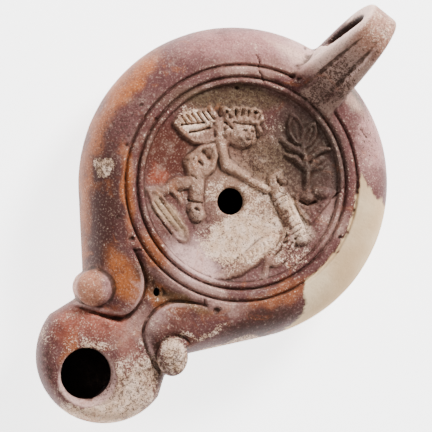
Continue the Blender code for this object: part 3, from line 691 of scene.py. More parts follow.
def holes_distance(x, y, z):
    """The wick hole and the filling hole with their worn edges, and the air hole between the lobes."""
    wick_x, wick_y, wick_radius = WICK_HOLE
    fill_x, fill_y, fill_radius = FILLING_HOLE
    lip = lip_distance(x, y) - wick_radius - 1.15 + (NOZZLE_TOP - z) * 1.1
    wick = np.minimum(np.hypot(x - wick_x, y - wick_y) - wick_radius, lip * 0.67)
    fill = np.hypot(x - fill_x, y - fill_y) - fill_radius
    fill = np.minimum(fill, (fill - 0.5 + (DISCUS_FLOOR - z)) * 0.7)
    air_u, air_v = photo_place(x - AIR_HOLE[0], y - AIR_HOLE[1])
    air = (np.hypot(air_u / 0.85, air_v / 1.15) - 1.0) * 0.95
    return np.maximum(np.minimum(np.minimum(wick, fill), air), HOLES_END - z)


def clay_distance(x, y, z):
    """Distance to the lamp's surface in millimetres, negative inside the clay."""
    radius = np.hypot(x, y)
    edge = PANEL(x, y)
    u, v = photo_place(x, y)
    above = 1.0 - falling(z, 12.0, 17.0)
    marks = CUTS(u, v) * above

    out = np.where(y < -12.0, FRONT(x, y), radius - BODY_RADIUS)
    side = BODY_SIDE(BODY_RADIUS + out, z)
    lobes = z - (27.55 + 0.178 * (y + 32.0) - lobe_marks(x, y) * (y < -36.0))
    body = smooth_max(side, lobes, 1.4)

    reach, thin = along_nozzle(y, 7.9)
    nozzle = NOZZLE_SIDE(np.hypot(x, y - reach) + thin, z)
    body = smooth_min(body, nozzle, 2.2)

    cut = smooth_max(edge, panel_floor(x, y, radius, edge) - z, 0.15)
    body = smooth_max(body, -cut, 0.9)
    body = smooth_max(body, (z - discus_height(x, y, radius)) * 0.85, 0.25)

    body = smooth_min(body, knobs_distance(x, y, z), 0.7)
    body = smooth_min(body, handle_distance(x, y, z), 1.8)

    channel = NOZZLE_HOLLOW(np.hypot(x, y - reach) + thin * 0.9, z)
    hollow = smooth_min(oil_distance(radius, z), channel, 2.0)
    body = smooth_max(body, -holes_distance(x, y, z), 0.35)
    body = np.maximum(body, -hollow)

    groove = np.hypot((radius - BASE_GROOVE_RADIUS) * 0.8, z) - 0.65
    body = smooth_max(body, -groove, 0.2)
    return (body + marks).astype(np.float32)


# Meshing

def steps_to(start, middle_start, middle_end, end):
    before = np.arange(start, middle_start, COARSE_PITCH)
    middle = np.arange(middle_start, middle_end, FINE_PITCH)
    after = np.arange(middle_end, end + COARSE_PITCH, COARSE_PITCH)
    return np.concatenate([before, middle, after])


def surface_net(values, axes):
    """A closed mesh of four-sided faces, one vertex in each cell that the surface passes through."""
    inside = values < 0.0
    shape = tuple(count - 1 for count in values.shape)
    total = np.zeros(shape + (3,), dtype=np.float32)
    hits = np.zeros(shape, dtype=np.float32)
    crossings = []
    for axis in range(3):
        first = tuple(slice(None, -1) if k == axis else slice(None) for k in range(3))
        second = tuple(slice(1, None) if k == axis else slice(None) for k in range(3))
        index = np.argwhere(inside[first] != inside[second])
        a = values[first][tuple(index.T)]
        b = values[second][tuple(index.T)]
        share = a / (a - b)
        point = np.stack([axes[k][index[:, k]] for k in range(3)], axis=1)
        span = axes[axis][index[:, axis] + 1] - axes[axis][index[:, axis]]
        point[:, axis] += share * span
        others = [k for k in range(3) if k != axis]
        crossings.append((axis, index, a < 0.0))
        for shift_one in (0, 1):
            for shift_two in (0, 1):
                cell = index.copy()
                cell[:, others[0]] -= shift_one
                cell[:, others[1]] -= shift_two
                keep = np.all((cell >= 0) & (cell < np.array(shape)), axis=1)
                place = tuple(cell[keep].T)
                np.add.at(hits, place, 1.0)
                for k in range(3):
                    np.add.at(total[..., k], place, point[keep, k])
    used = hits > 0.0
    number = np.full(shape, -1, dtype=np.int64)
    number[used] = np.arange(int(used.sum()))
    points = total[used] / hits[used][:, None]
    faces = []
    for axis, index, leaving in crossings:
        one, two = [k for k in range(3) if k != axis]
        corners = []
        for shift_one, shift_two in ((0, 0), (1, 0), (1, 1), (0, 1)):
            cell = index.copy()
            cell[:, one] -= shift_one
            cell[:, two] -= shift_two
            corners.append(number[tuple(cell.T)])
        quad = np.stack(corners, axis=1)
        if axis == 1:
            leaving = ~leaving
        quad[leaving] = quad[leaving][:, ::-1]
        faces.append(quad)
    return points, np.concatenate(faces)


def uphill(points):
    """The way out of the clay at each point, and how steep the distance is there."""
    step = 0.06
    slope = np.empty_like(points)
    for k in range(3):
        shift = np.zeros(3)
        shift[k] = step
        ahead = clay_distance(*(points + shift).T)
        behind = clay_distance(*(points - shift).T)
        slope[:, k] = (ahead - behind) / (2.0 * step)
    return slope


def settled(points, rounds):
    """Points moved on to the surface, each by no more than a little at a time."""
    for _ in range(rounds):
        slope = uphill(points)
        steep = np.maximum((slope ** 2).sum(axis=1), 0.09)
        away = clay_distance(*points.T) / steep
        move = slope * away[:, None]
        length = np.linalg.norm(move, axis=1)
        points = points - move * (np.minimum(length, 0.25) / np.maximum(length, 1e-9))[:, None]
    return points


def lamp_mesh():
    axes = [steps_to(low[0] - 1.0, -33.0, 33.0, high[0] + 1.0),
            steps_to(low[1] - 1.0, -33.0, 33.0, high[1] + 1.0),
            np.arange(-1.0, high[2] + 1.5, UPWARD_PITCH)]
    x, y, z = np.ix_(*axes)
    values = np.empty([axis.size for axis in axes], dtype=np.float32)
    for i in range(0, axes[0].size, 16):
        values[i:i + 16] = clay_distance(x[i:i + 16], y, z)
    points, faces = surface_net(values, axes)
    points = settled(points.astype(float), SETTLING_ROUNDS)
    mesh = bpy.data.meshes.new("oil_lamp_clay")
    mesh.vertices.add(len(points))
    mesh.vertices.foreach_set("co", (points * MM).astype(np.float32).ravel())
    mesh.loops.add(faces.size)
    mesh.loops.foreach_set("vertex_index", faces.astype(np.int32).ravel())
    mesh.polygons.add(len(faces))
    mesh.polygons.foreach_set("loop_start", np.arange(0, faces.size, 4, dtype=np.int32))
    mesh.update(calc_edges=True)
    mesh.validate()
    return mesh


def from_vertices(mesh, what):
    """One row of three numbers for each vertex."""
    rows = np.empty(len(mesh.vertices) * 3)
    mesh.vertices.foreach_get(what, rows)
    return rows.reshape(-1, 3)


def made_plain(piece):
    """The piece's mesh with its modifiers worked in. The piece itself goes."""
    graph = bpy.context.evaluated_depsgraph_get()
    mesh = bpy.data.meshes.new_from_object(piece.evaluated_get(graph))
    bpy.data.objects.remove(piece)
    return mesh


def placed(name, data):
    piece = bpy.data.objects.new(name, data)
    bpy.context.scene.collection.objects.link(piece)
    return piece


def thinned(mesh, target):
    """Fewer faces on the inside and underside, where little is seen. The top keeps all of its own."""
    x, y, z = (from_vertices(mesh, "co") / MM).T
    radius = np.hypot(x, y)
    reach = along_nozzle(y, 0.0)[0]
    hollow = (np.maximum(BODY_SIDE(radius, z) + WALL, z - 23.0) < 0.4) & (radius < 41.0)
    hollow |= (NOZZLE_HOLLOW(np.hypot(x, y - reach), z) < 0.4)
    hollow &= z < 21.5
    hollow &= np.hypot(x - FILLING_HOLE[0], y - FILLING_HOLE[1]) > FILLING_HOLE[2] + 2.0
    hollow |= z < 9.0
    sides = ~hollow & ((radius > 33.5) | (z < 20.0))
    piece = placed("thinning", mesh)
    group = piece.vertex_groups.new(name="little_seen")
    group.add(np.flatnonzero(hollow).tolist(), 1.0, "REPLACE")
    group.add(np.flatnonzero(sides).tolist(), 0.10, "REPLACE")
    thin = piece.modifiers.new("thin", "DECIMATE")
    thin.ratio = min(1.0, target / (2 * len(mesh.polygons)))
    thin.vertex_group = group.name
    thin.vertex_group_factor = 1.0
    return made_plain(piece)


# What age has left on the clay, and painted shade and highlights, as attributes that the material reads

DEEPEN = 1.22
SATURATE = 1.18


def srgb(red, green, blue):
    """A colour as the photograph shows it, from 0 to 255, as the clay's own linear colour. It is
    deepened, because soft light all round washes colours out."""
    linear = [((c / 255.0 + 0.055) / 1.055) ** 2.4 * 1.12 for c in (red, green, blue)]
    linear = [c ** DEEPEN for c in linear]
    grey = sum(linear) / 3.0
    return tuple(min(max(grey + (c - grey) * SATURATE, 0.002), 0.95) for c in linear)


SLIP_MAUVE = srgb(109, 78, 76)
SLIP_DARK = srgb(79, 54, 50)
LAVENDER_SLIP_AND_HIGHLIGHT = srgb(168, 134, 130)
SLIP_BLOOM_AND_RIM_HIGHLIGHT = srgb(200, 172, 167)
SLIP_ORANGE = srgb(160, 106, 76)
SLIP_RED = srgb(150, 92, 76)
SLIP_DEEP_RED = srgb(94, 58, 50)
SLIP_PINK = srgb(172, 142, 134)
SOOT_AND_SHADOW = srgb(98, 89, 81)
HANDLE_SOOT = srgb(164, 140, 130)
OLIVE = srgb(110, 94, 78)
RELIEF_TAN = srgb(176, 148, 130)
GROUND_TAN = srgb(156, 130, 114)
WORN_CREAM = srgb(226, 204, 188)
BARE_CLAY = srgb(208, 182, 160)
TOP_LAVENDER = srgb(158, 120, 117)
TOP_BLUSH = srgb(190, 160, 154)
KNOB_PEACH = srgb(184, 138, 118)
PLATE_RED = srgb(158, 106, 94)
PLATE_MAUVE = srgb(160, 124, 126)
LOBE_BROWN = srgb(130, 94, 86)
SHOULDER_BROWN = srgb(84, 58, 55)
BRICK_RED = srgb(138, 76, 60)
WINESKIN_TAN = srgb(164, 142, 120)
LEFT_SHADOW = srgb(104, 76, 60)
RIGHT_SHADOW = srgb(122, 96, 76)
DISCUS_GREY = srgb(106, 92, 86)
BIRD_CREAM = srgb(228, 204, 186)
NOZZLE_CREAM = srgb(216, 190, 172)
RING_TAN = srgb(156, 126, 116)
LIP_PINK = srgb(190, 162, 155)
HANDLE_CLAY = srgb(164, 129, 115)
PALE_AND_LIT_HANDLE_FLANK = srgb(216, 188, 178)
FINGER_HOLE_SOOT_AND_SHADE = srgb(44, 32, 26)
CHAMBER_SOOT = srgb(34, 20, 18)
SOOT_SPECK = srgb(76, 56, 50)
DARK_GRAIN = srgb(84, 60, 54)
THICK_SLIP = srgb(78, 50, 50)
DIRT_AND_SHADE = srgb(60, 42, 32)
PLASTER = srgb(196, 172, 144)
PALE_PLASTER = srgb(216, 198, 172)
PLASTER_GRIT = srgb(168, 144, 120)

# Slip colour patches, among them painted shadows and painted highlights: centre u, v, half sizes, turn in
# degrees, colour, strength. Later ones lie on top.
SLIP_PATCHES = (
    (-34.0, 18.0, 16.0, 9.0, 60.0, SLIP_MAUVE, 0.9),
    (-37.0, -4.0, 18.0, 6.5, 88.0, SLIP_DARK, 1.0),
    (-36.5, -18.0, 8.0, 6.0, 80.0, SLIP_DARK, 0.7),
    (-19.5, 32.5, 8.0, 5.0, 30.0, SLIP_MAUVE, 0.8),
    (2.0, 35.5, 20.0, 6.0, -4.0, TOP_LAVENDER, 1.0),
    (17.0, 33.5, 8.0, 5.5, -20.0, TOP_BLUSH, 0.95),
    (35.5, 11.0, 5.0, 11.0, -8.0, LAVENDER_SLIP_AND_HIGHLIGHT, 1.0),
    (34.0, -18.0, 14.0, 3.0, 55.0, SLIP_PINK, 0.8),
    (6.0, -36.5, 13.0, 5.0, 18.0, SLIP_DARK, 0.7),
    (-10.0, -34.5, 10.0, 4.0, 0.0, SLIP_MAUVE, 0.7),
    (-29.0, 26.5, 11.0, 3.2, 52.0, SLIP_ORANGE, 1.0),
    (-37.0, 13.5, 8.0, 2.0, 68.0, SLIP_ORANGE, 0.8),
    (-40.5, -6.0, 16.0, 1.6, 90.0, SLIP_ORANGE, 0.7),
    (-30.4, -1.5, 12.0, 1.8, 92.0, SLIP_ORANGE, 0.9),
    (-31.5, -24.5, 8.0, 4.0, -62.0, SLIP_ORANGE, 1.0),
    (-21.5, -29.5, 8.0, 3.0, -38.0, SLIP_ORANGE, 0.9),
    (-39.6, -27.2, 4.6, 5.2, 0.0, KNOB_PEACH, 0.85),
    # Painted highlight: the lit right side of the left knob's dome
    (-35.6, -27.0, 1.7, 5.2, 8.0, LAVENDER_SLIP_AND_HIGHLIGHT, 0.95),
    (-37.0, -35.8, 12.0, 3.6, -4.0, PLATE_RED, 1.0),
    (-46.0, -39.5, 4.0, 3.5, 40.0, SLIP_RED, 0.7),
    (-26.0, -37.5, 5.0, 4.5, 0.0, SLIP_PINK, 0.8),
    (-41.0, -41.5, 9.0, 3.5, 0.0, SLIP_MAUVE, 0.8),
    (-50.5, -49.0, 3.2, 11.0, 6.0, SLIP_MAUVE, 1.0),
    (-45.5, -44.5, 1.6, 4.0, -35.0, SLIP_ORANGE, 0.7),
    (-38.0, -61.5, 5.0, 1.6, 0.0, SLIP_ORANGE, 0.8),
    (-18.5, -36.5, 6.0, 5.0, 0.0, LOBE_BROWN, 0.8),
    (-19.0, 6.0, 9.0, 12.0, 20.0, SLIP_DEEP_RED, 1.0),
    (-22.0, 1.5, 3.5, 3.0, 0.0, BRICK_RED, 0.8),
    (-20.0, -15.0, 6.0, 8.0, 30.0, SLIP_DEEP_RED, 0.45),
    (-18.6, -8.5, 7.5, 2.2, -52.0, WINESKIN_TAN, 0.95),
    # Painted shadow on the panel's floor, where it lies below the rings' outer slope
    (-24.6, -26.3, 6.0, 1.7, -52.0, LEFT_SHADOW, 1.0),
    (-15.5, -31.2, 9.5, 1.5, -19.0, RIGHT_SHADOW, 1.0),
    (-12.0, -20.5, 9.0, 6.0, -35.0, SLIP_BLOOM_AND_RIM_HIGHLIGHT, 1.0),
    (-23.5, -18.0, 6.0, 3.5, -52.0, SLIP_ORANGE, 0.7),
    (-12.0, -28.0, 14.0, 3.0, -25.0, SLIP_PINK, 0.8),
    (12.0, -28.5, 12.0, 3.0, 22.0, SLIP_ORANGE, 0.6),
    (24.0, -10.0, 3.0, 8.0, -20.0, SLIP_PINK, 0.6),
    (5.0, -1.0, 15.0, 15.0, 0.0, GROUND_TAN, 0.85),
    (-3.0, 22.0, 17.0, 4.0, 0.0, OLIVE, 1.0),
    (17.5, 8.5, 9.5, 13.0, 10.0, SOOT_AND_SHADOW, 0.9),
    # Painted shadow: the handle's cast shadow on the shoulder beside its root, in the soot colour
    (29.4, 23.4, 2.4, 4.6, 40.0, SOOT_AND_SHADOW, 0.9),
    (-37.6, -11.0, 3.0, 12.0, 0.0, SHOULDER_BROWN, 0.65),
    (-41.8, -40.1, 3.4, 2.8, 0.0, PLATE_MAUVE, 0.70),
    (25.4, 3.6, 2.6, 8.0, 0.0, DISCUS_GREY, 0.70),
    (16.0, -11.0, 5.2, 2.8, -69.0, BIRD_CREAM, 1.0),
    (-32.6, -58.7, 7.0, 4.4, 12.0, NOZZLE_CREAM, 0.9),
    (4.0, 29.8, 14.0, 3.0, 0.0, RING_TAN, 0.6),
    (8.0, 6.0, 7.0, 6.0, 0.0, OLIVE, 0.7),
)

# Where the slip has worn through to pale clay, and where soot and root marks speckle it: centre u, v,
# half sizes, turn in degrees, strength
WORN_PATCHES = (
    (13.6, -6.5, 9.5, 2.8, -69.0, 1.0), (-32.7, -58.7, 5.5, 3.8, 10.0, 0.95),
    (-12.0, 16.0, 6.5, 4.5, 0.0, 0.85), (-29.0, -61.5, 10.0, 4.0, 24.0, 0.80), (0.5, 16.0, 5.0, 4.0, 0.0, 0.60),
    (-39.5, -42.6, 6.5, 1.7, 0.0, 0.80), (-27.5, -43.5, 5.0, 5.0, 0.0, 0.55),
    (-12.0, -39.8, 14.0, 1.2, 16.0, 0.70),
    (1.0, -14.0, 15.0, 9.0, 12.0, 0.95), (6.0, -4.0, 12.0, 7.0, -10.0, 0.70),
    (-5.0, -3.0, 7.0, 6.0, 0.0, 0.62), (-17.0, -4.0, 7.0, 6.0, 0.0, 0.45),
    (-27.0, -51.0, 9.5, 11.0, 10.0, 0.85), (-37.5, -60.0, 13.0, 4.0, -8.0, 0.85),
    (-41.0, -45.5, 8.0, 4.0, 0.0, 0.50), (-17.5, -45.5, 5.0, 6.0, 0.0, 0.95),
    (-36.5, 4.6, 3.2, 3.4, 0.0, 0.95), (6.0, 13.0, 8.0, 7.0, 0.0, 0.50),
    (13.0, -18.0, 8.0, 6.0, 30.0, 0.60), (0.0, -42.5, 14.0, 2.0, 12.0, 0.75),
    (-28.0, 24.0, 10.0, 2.5, 55.0, 0.35), (34.0, 40.0, 8.0, 8.0, 40.0, 0.60),
    (-22.0, -37.0, 4.0, 3.0, 0.0, 0.55), (20.0, -12.0, 5.0, 8.0, 0.0, 0.45),
    (-52.5, -38.0, 3.0, 6.0, 20.0, 0.60), (33.5, 6.0, 3.5, 12.0, 0.0, 0.45),
)
SPECKLED_PATCHES = (
    (17.0, 6.0, 10.0, 15.0, 5.0, 0.75), (22.5, 25.5, 11.0, 6.0, 52.0, 0.62),
    (0.0, 22.0, 18.0, 4.0, 0.0, 0.55), (9.0, -8.0, 7.0, 7.0, 0.0, 0.38),
    (19.0, -15.0, 5.0, 8.0, 25.0, 0.45), (-18.0, -49.0, 8.0, 8.0, 0.0, 0.62),
    (-36.5, 4.6, 3.0, 3.2, 0.0, 0.62), (0.0, -12.0, 12.0, 8.0, 0.0, 0.30),
    (-30.0, -55.0, 9.0, 9.0, 0.0, 0.45),
    (-36.0, -10.0, 5.0, 16.0, 0.0, 0.30), (6.0, -36.5, 14.0, 4.0, 18.0, 0.65),
    (-11.0, -6.5, 5.0, 7.0, 0.0, 0.45), (-32.0, 14.0, 5.0, 14.0, -30.0, 0.40),
    (34.0, 12.0, 4.0, 10.0, 0.0, 0.35), (5.0, 8.0, 8.0, 8.0, 0.0, 0.60),
    (-51.5, -50.0, 3.0, 11.0, 6.0, 0.55), (36.0, 38.0, 7.0, 8.0, 0.0, 0.40),
)

# The plaster repair on the right shoulder, as an outline seen from above
PLASTER_EDGE = [(31.9, 2.4), (33.4, 0.6), (35.4, -2.8), (37.2, -4.4), (39.0, -6.0), (46.0, -8.5), (46.0, -30.0),
                (30.0, -44.0), (12.0, -42.0), (12.6, -38.4), (14.6, -36.6), (16.2, -35.3), (17.5, -32.4),
                (16.8, -30.5), (16.1, -28.0), (16.9, -25.1), (22.0, -21.4), (25.3, -17.4), (28.0, -13.4),
                (30.1, -6.8), (30.8, -1.7)]


def patch_share(u, v, patch):
    """How far inside a soft oval patch each place is, from 0 outside to the patch's strength."""
    centre_u, centre_v, half_u, half_v, degrees = patch[:5]
    along, across = turned_place(u, v, (centre_u, centre_v), math.radians(degrees))
    away = np.sqrt((along / half_u) ** 2 + (across / half_v) ** 2)
    return falling(away, 0.45, 1.30) * patch[-1]


def strongest(u, v, patches):
    """The strongest of several patches at each place."""
    share = np.zeros(len(u))
    for patch in patches:
        share = np.maximum(share, patch_share(u, v, patch))
    return share


def tinted(colour, share, tint):
    """A colour for each place, with another laid over it by the share."""
    return colour * (1.0 - share[:, None]) + np.array(tint) * share[:, None]


def neighbour_mean(mesh, values, rounds):
    """Values spread over the mesh by averaging with the neighbours' values."""
    ends = np.empty(len(mesh.edges) * 2, dtype=np.int64)
    mesh.edges.foreach_get("vertices", ends)
    first, second = ends.reshape(-1, 2).T
    count = np.bincount(np.concatenate([first, second]), minlength=len(values)).astype(float)
    count = np.maximum(count, 1.0)
    for _ in range(rounds):
        spread = np.empty_like(values)
        for k in range(values.shape[1]):
            column = values[:, k]
            spread[:, k] = np.bincount(first, column[second], len(values))
            spread[:, k] += np.bincount(second, column[first], len(values))
        values = 0.35 * values + 0.65 * spread / count[:, None]
    return values


def slip_colour(points, normals, u, v):
    """The slip's colour at each place before wear, grime and painted shade, with painted light on the handle's
    left side and the lobes' edge, and how far it is dark in the finger hole, as soot and painted shade, and
    pale on the wick hole's lip."""
    x, y, z = points.T
    colour = np.tile(np.array(SLIP_MAUVE), (len(points), 1))
    ragged_u = u + 0.9 * cloud(points, 9.0, 11)
    ragged_v = v + 0.9 * cloud(points, 9.0, 12)
    for patch in SLIP_PATCHES:
        colour = tinted(colour, patch_share(ragged_u, ragged_v, patch), patch[5])

    # The handle: clay coloured, pale on its left side as pale clay and painted light, sooty at its root
    handle = falling(-y, -36.0, -33.0) * falling(-z, -27.0, -24.0)
    root = falling(-y, -29.0, -27.0) * falling(-z, -25.0, -23.0) * falling(np.abs(x - 0.4), 6.6, 7.6)
    pale_and_lit_flank = np.maximum(falling(normals[:, 0], -0.60, -0.20), falling(x, -3.4, -1.2) * falling(y, 43.0, 49.0))
    sooty = np.maximum(handle, root) * falling(y, 41.0, 47.5) * (1.0 - pale_and_lit_flank) * falling(-z, -25.0, -23.0)
    colour = tinted(colour, handle, HANDLE_CLAY)
    # Painted light: faces turned to the lamp's left, and the left side near the top, are made paler
    colour = tinted(colour, handle * pale_and_lit_flank, PALE_AND_LIT_HANDLE_FLANK)
    colour = tinted(colour, sooty, HANDLE_SOOT)

    colour = tinted(colour, 0.60 * raised_share(x, y, z) * falling(u, 9.0, 13.0), RELIEF_TAN)
    # Painted highlight: a pale line along the lobes' edge where they drop to the panel
    lobe_rim_highlight = 0.65 * bell(PANEL(x, y) - 0.45, 0.45) * falling(y, -36.0, -33.0) * (z > 20.0)
    colour = tinted(colour, lobe_rim_highlight, SLIP_BLOOM_AND_RIM_HIGHLIGHT)

    # The finger hole's inside is painted dark: soot and painted shade
    within = np.clip(0.5 * HANDLE_THICKNESS + STRAP_AWAY(y, z), 0.0, 9.0)
    finger_hole_soot_and_shade = falling(within, 0.2, 0.9) * falling(-z, -19.0, -17.0) * falling(-y, -37.0, -35.0)
    finger_hole_soot_and_shade = finger_hole_soot_and_shade * falling(-y, -46.5, -42.5)
    colour = tinted(colour, finger_hole_soot_and_shade, FINGER_HOLE_SOOT_AND_SHADE)
    lip = falling(lip_distance(x, y), WICK_HOLE[2] + 0.7, WICK_HOLE[2] + 1.2) * (z > 19.0)
    return tinted(colour, lip, LIP_PINK), finger_hole_soot_and_shade, lip


def raised_share(x, y, z):
    """How far each place stands up on the discus picture, from 0 to 1."""
    return np.clip(RAISED(*photo_place(x, y)) / 1.6, 0.0, 1.0) * (np.hypot(x, y) < 25.5) * (z > 20.0)


def plaster_share(points, u, v):
    """1 on the repair. Its edge is jagged, and more so on the bowl's side."""
    x, y, z = points.T
    below = np.clip(16.0 - z, 0.0, 12.0)
    jagged_u = u + 0.55 * cloud(points, 3.5, 21) + 0.22 * below * cloud(points, 7.0, 24)
    jagged_v = v + 0.55 * cloud(points, 3.5, 22) + 0.22 * below * cloud(points, 7.0, 25)
    share = falling(outline_distance(PLASTER_EDGE, jagged_u, jagged_v), -0.25, 0.25)
    lower_edge = falling(-z + 2.2 * cloud(points, 8.0, 26), -7.4, -6.8)
    return share * (lower_edge * falling(-np.hypot(x, y), -30.6, -30.2))


def age_the_clay(mesh):
    """Everything that the material reads, as attributes of the mesh."""
    points = from_vertices(mesh, "co") / MM
    normals = from_vertices(mesh, "normal")
    u, v = photo_place(points[:, 0], points[:, 1])
    colour, finger_hole_soot_and_shade, lip = slip_colour(points, normals, u, v)
    ragged = (u + 0.9 * cloud(points, 9.0, 11), v + 0.9 * cloud(points, 9.0, 12))
    values = {
        "hollow": ((neighbour_mean(mesh, points, 5) - points) * normals).sum(axis=1),
        "deep": ((neighbour_mean(mesh, points, 24) - points) * normals).sum(axis=1),
        "worn": strongest(*ragged, WORN_PATCHES) * (1.0 - 0.8 * lip) * (1.0 - finger_hole_soot_and_shade),
        "speckled": strongest(*ragged, SPECKLED_PATCHES),
        "repair": plaster_share(points, u, v),
        "relief": raised_share(*points.T),
        # The finger hole's painted shade is laid on together with the chamber's soot
        "inside": np.maximum(clay_inside(points), 0.85 * finger_hole_soot_and_shade)}
    for name, readings in values.items():
        mesh.attributes.new(name, "FLOAT", "POINT").data.foreach_set("value", readings.astype(np.float32))
    slip = mesh.attributes.new("slip", "FLOAT_COLOR", "POINT")
    slip.data.foreach_set("color", np.column_stack([colour, np.ones(len(points))]).astype(np.float32).ravel())


def clay_inside(points):
    """1 on the walls of the oil chamber and of the nozzle's hollow."""
    x, y, z = points.T
    reach, thin = along_nozzle(y, 7.0)
    channel = NOZZLE_HOLLOW(np.hypot(x, y - reach) + thin, z)
    return falling(np.minimum(oil_distance(np.hypot(x, y), z), channel), 0.4, 1.6)


# Node trees

def put(tree, socket, value):
    """Link a socket to another, or set it to a number, a colour or a text."""
    if hasattr(value, "is_linked"):
        tree.links.new(value, socket)
    elif isinstance(value, tuple) and len(value) == 3 and socket.type == "RGBA":
        socket.default_value = (*value, 1.0)
    else:
        socket.default_value = value


def sum_node(tree, operation, first, second, clamp=False):
    node = tree.nodes.new("ShaderNodeMath")
    node.operation = operation
    node.use_clamp = clamp
    put(tree, node.inputs[0], first)
    put(tree, node.inputs[1], second)
    return node.outputs[0]


# Weathering by a node tree: slow unevenness of the hand-pressed clay, a worn grain and fine pits.
# Its sizes are in metres and its scales in waves to a metre.

WEATHERING = {"Unevenness": 0.00010, "Unevenness scale": 110.0, "Grain": 0.00005, "Grain scale": 900.0,
              "Pit depth": 0.00016, "Pit scale": 420.0, "Seed": 7.0}
MOST_OUTWARD = 0.00010


def weathering_tree(material):
    tree = bpy.data.node_groups.new("weathering", "GeometryNodeTree")
    tree.is_modifier = True
    face = tree.interface
    face.new_socket("Geometry", in_out="INPUT", socket_type="NodeSocketGeometry")
    for name, value in WEATHERING.items():
        socket = face.new_socket(name, in_out="INPUT", socket_type="NodeSocketFloat")
        socket.default_value = value
    face.new_socket("Clay", in_out="INPUT", socket_type="NodeSocketMaterial").default_value = material
    face.new_socket("Geometry", in_out="OUTPUT", socket_type="NodeSocketGeometry")
    nodes = tree.nodes
    link = tree.links.new
    given = nodes.new("NodeGroupInput")
    result = nodes.new("NodeGroupOutput")
    place = nodes.new("GeometryNodeInputPosition")
    normal = nodes.new("GeometryNodeInputNormal")

    def times(first, second):
        return sum_node(tree, "MULTIPLY", first, second)

    def waves(scale, detail):
        noise = nodes.new("ShaderNodeTexNoise")
        noise.noise_dimensions = "4D"
        noise.inputs["Detail"].default_value = detail
        link(place.outputs[0], noise.inputs["Vector"])
        link(given.outputs[scale], noise.inputs["Scale"])
        link(given.outputs["Seed"], noise.inputs["W"])
        return sum_node(tree, "SUBTRACT", noise.outputs["Fac"], 0.5)

    slow = times(waves("Unevenness scale", 2.0), given.outputs["Unevenness"])
    grain = times(waves("Grain scale", 3.0), given.outputs["Grain"])
    cells = nodes.new("ShaderNodeTexVoronoi")
    cells.feature = "F1"
    link(place.outputs[0], cells.inputs["Vector"])
    link(given.outputs["Pit scale"], cells.inputs["Scale"])
    sparse = sum_node(tree, "GREATER_THAN", waves("Unevenness scale", 2.0), 0.06)
    hole = sum_node(tree, "SUBTRACT", 0.20, cells.outputs["Distance"])
    hole = sum_node(tree, "MAXIMUM", hole, 0.0)
    pits = times(times(hole, 5.0), times(sparse, given.outputs["Pit depth"]))
    total = sum_node(tree, "ADD", times(slow, 2.0), times(grain, 2.0))
    total = sum_node(tree, "SUBTRACT", total, pits)
    inward = sum_node(tree, "MINIMUM", total, MOST_OUTWARD)
    shift = nodes.new("ShaderNodeVectorMath")
    shift.operation = "SCALE"
    link(normal.outputs[0], shift.inputs[0])
    link(inward, shift.inputs["Scale"])
    moved = nodes.new("GeometryNodeSetPosition")
    link(given.outputs["Geometry"], moved.inputs["Geometry"])
    link(shift.outputs[0], moved.inputs["Offset"])
    real = nodes.new("GeometryNodeRealizeInstances")
    link(moved.outputs[0], real.inputs[0])
    finish = nodes.new("GeometryNodeSetMaterial")
    link(real.outputs[0], finish.inputs["Geometry"])
    link(given.outputs["Clay"], finish.inputs["Material"])
    link(finish.outputs[0], result.inputs[0])
    return tree


def weathered(mesh, material):
    piece = placed("weathering", mesh)
    mesh.materials.clear()
    mesh.materials.append(material)
    step = piece.modifiers.new("weathering", "NODES")
    step.node_group = weathering_tree(material)
    given = {**WEATHERING, "Clay": material}
    for item in step.node_group.interface.items_tree:
        if item.item_type == "SOCKET" and item.in_out == "INPUT" and item.name in given:
            step[item.identifier] = given[item.name]
    return made_plain(piece)


# The clay's finish

class Finish:
    """Short words for putting a material's node tree together."""

    def __init__(self, name):
        self.material = bpy.data.materials.new(name)
        self.material.use_nodes = True
        self.tree = self.material.node_tree
        self.shader = self.tree.nodes["Principled BSDF"]
        self.place = self.tree.nodes.new("ShaderNodeTexCoord").outputs["Object"]

    def put(self, socket, value):
        put(self.tree, socket, value)

    def attribute(self, name, output="Fac"):
        node = self.tree.nodes.new("ShaderNodeAttribute")
        node.attribute_name = name
        return node.outputs[output]

    def times(self, first, second):
        return sum_node(self.tree, "MULTIPLY", first, second)

    def plus(self, first, second, clamp=False):
        return sum_node(self.tree, "ADD", first, second, clamp)

    def larger(self, first, second):
        return sum_node(self.tree, "MAXIMUM", first, second)

    def noise(self, scale, detail=3.0, roughness=0.6, distortion=0.0):
        node = self.tree.nodes.new("ShaderNodeTexNoise")
        self.put(node.inputs["Vector"], self.place)
        node.inputs["Scale"].default_value = scale
        node.inputs["Detail"].default_value = detail
        node.inputs["Roughness"].default_value = roughness
        node.inputs["Distortion"].default_value = distortion
        return node.outputs["Fac"]

    def between(self, value, start, end):
        """0 below start and 1 above end, with a soft run between. A start above the end turns it round."""
        node = self.tree.nodes.new("ShaderNodeMapRange")
        node.interpolation_type = "SMOOTHSTEP"
        self.put(node.inputs["Value"], value)
        node.inputs["From Min"].default_value = min(start, end)
        node.inputs["From Max"].default_value = max(start, end)
        node.inputs["To Min"].default_value = 0.0 if start < end else 1.0
        node.inputs["To Max"].default_value = 1.0 if start < end else 0.0
        return node.outputs["Result"]

    def mix(self, share, first, second):
        node = self.tree.nodes.new("ShaderNodeMix")
        node.data_type = "RGBA"
        node.clamp_result = True
        self.put(node.inputs[0], share)
        self.put(node.inputs[6], first)
        self.put(node.inputs[7], second)
        return node.outputs[2]

    def lay_on(self, coat, colour, share, strength):
        """A colour over the coat, by the share and at most by the strength."""
        return self.mix(self.times(share, strength), coat, colour)


